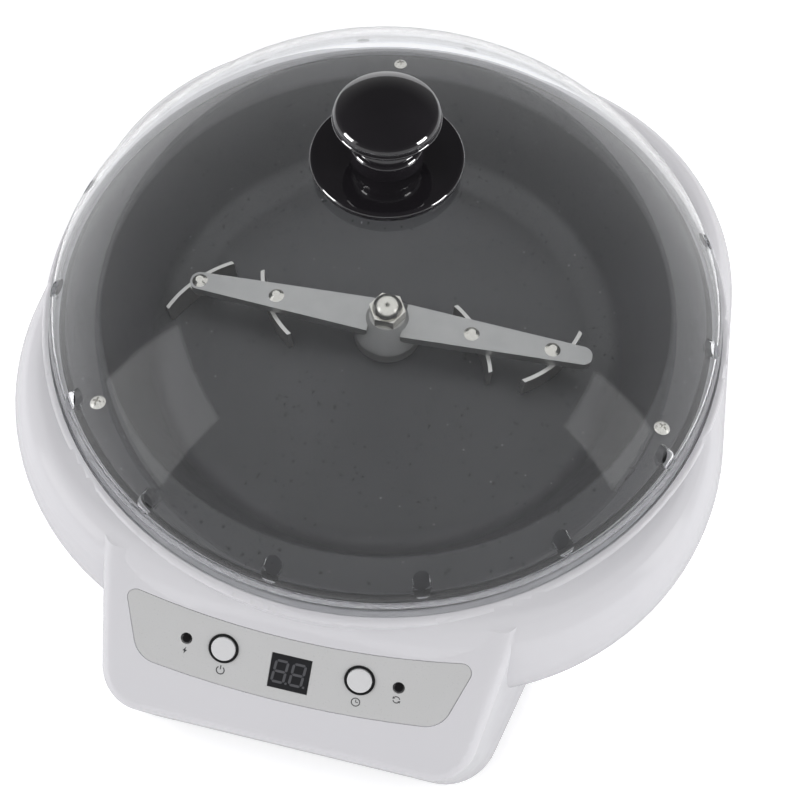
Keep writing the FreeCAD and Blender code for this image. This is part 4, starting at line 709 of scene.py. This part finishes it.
def in_a_mirror(tree, plain, mirrored):
    """Strength of the backdrop: its plain value, and another one where a mirror ray meets it.

    A ray through smooth glass counts as a mirror ray too, and is told apart by its transmission.
    """
    path = add_node(tree, "ShaderNodeLightPath")
    only = {0: path.outputs["Is Glossy Ray"], 1: path.outputs["Is Transmission Ray"]}
    mirror = add_node(tree, "ShaderNodeMath", only, operation="GREATER_THAN").outputs[0]
    mix = add_node(tree, "ShaderNodeMix", {0: mirror}, {2: plain}, data_type="FLOAT")
    if isinstance(mirrored, float):
        mix.inputs[3].default_value = mirrored
    else:
        tree.links.new(mirrored, mix.inputs[3])
    return mix.outputs[0]


def studio_floor():
    """White sweep: pure white to the eye, while it still takes the roaster's shadow."""
    form = bmesh.new()
    bmesh.ops.create_grid(form, x_segments=1, y_segments=1, size=FLOOR_HALF)
    mesh = bpy.data.meshes.new("floor")
    form.to_mesh(mesh)
    form.free()
    floor = bpy.data.objects.new("floor", mesh)
    bpy.context.scene.collection.objects.link(floor)
    material = bpy.data.materials.new("white_sweep")
    material.use_nodes = True
    tree = material.node_tree
    shader = tree.nodes["Principled BSDF"]
    shader.inputs["Base Color"].default_value = linear("F0F0F2")
    shader.inputs["Roughness"].default_value = 0.9
    shader.inputs["Specular IOR Level"].default_value = 0.0
    level = {"Strength": in_a_mirror(tree, FLOOR_GLOW, FLOOR_GLOW_MIRRORED)}
    glow = add_node(tree, "ShaderNodeEmission", level, {"Color": (1, 1, 1, 1)})
    both = add_node(tree, "ShaderNodeAddShader", {0: shader.outputs[0], 1: glow.outputs[0]})
    choice = {0: sees_backdrop(tree), 1: shader.outputs[0], 2: both.outputs[0]}
    mixed = add_node(tree, "ShaderNodeMixShader", choice)
    tree.links.new(mixed.outputs[0], tree.nodes["Material Output"].inputs["Surface"])
    mesh.materials.append(material)


def studio_room():
    """Soft light, stronger from both sides; the eye sees white, mirrors a dim horizon and a dimmer ceiling."""
    world = bpy.data.worlds.new("studio")
    bpy.context.scene.world = world
    world.use_nodes = True
    tree = world.node_tree
    background = tree.nodes["Background"]
    background.inputs["Color"].default_value = (1, 1, 1, 1)
    way = add_node(tree, "ShaderNodeTexCoord").outputs["Generated"]
    parts = add_node(tree, "ShaderNodeSeparateXYZ", {0: way}).outputs
    seen = in_a_mirror(tree, 1.0, between(tree, parts["Z"], MIRRORED_HORIZON, CEILING, 0.0, 0.5))
    aside = add_node(tree, "ShaderNodeMath", {0: parts["X"]}, operation="ABSOLUTE").outputs[0]
    soft = between(tree, aside, AHEAD_LIGHT, SIDE_LIGHT, 0.3, 1.0)
    strength = add_node(tree, "ShaderNodeMix", {0: sees_backdrop(tree), 2: soft, 3: seen}, data_type="FLOAT")
    tree.links.new(strength.outputs[0], background.inputs["Strength"])


def photo_lights():
    """Two dim soft boxes for the lid's panes of light, and two bright ones that only the knob catches."""
    softbox("left_box", -151, 16, 1.0, 0.5, 0.5, 0.9)
    softbox("right_box", -9, 13, 1.0, 0.3, 0.45, 0.9)
    shiny = bpy.data.collections.new("shiny_black")
    for name in ("knob_turned", "knob_disc"):
        shiny.objects.link(bpy.data.objects[name])
    for side, bearing in (("left", -155), ("right", -8)):
        light = softbox(side + "_glint", bearing, 14, 1.0, 0.36, 0.36, 26.0)
        light.light_linking.receiver_collection = shiny


def photo_camera():
    """Camera at the photograph's own place, aim, roll and lens."""
    data = bpy.data.cameras.new("photo_camera")
    data.lens = CAMERA_LENS
    data.sensor_width = 36.0
    data.clip_start = 0.01
    camera = bpy.data.objects.new("photo_camera", data)
    turn = (CAMERA_AIM - CAMERA_PLACE).to_track_quat("-Z", "Y").to_matrix()
    turn = turn @ Matrix.Rotation(CAMERA_ROLL, 3, "Z")
    camera.matrix_world = Matrix.Translation(CAMERA_PLACE * MM) @ turn.to_4x4()
    bpy.context.scene.collection.objects.link(camera)
    bpy.context.scene.camera = camera


dress_cad_nodes()
roasting_pan()
seal_ring()
lid_dome()
knob()
pan_screws()
button_rings()
display_digits()
pictograms()
studio_floor()
studio_room()
photo_lights()
photo_camera()
bpy.context.scene.view_settings.view_transform = "Standard"
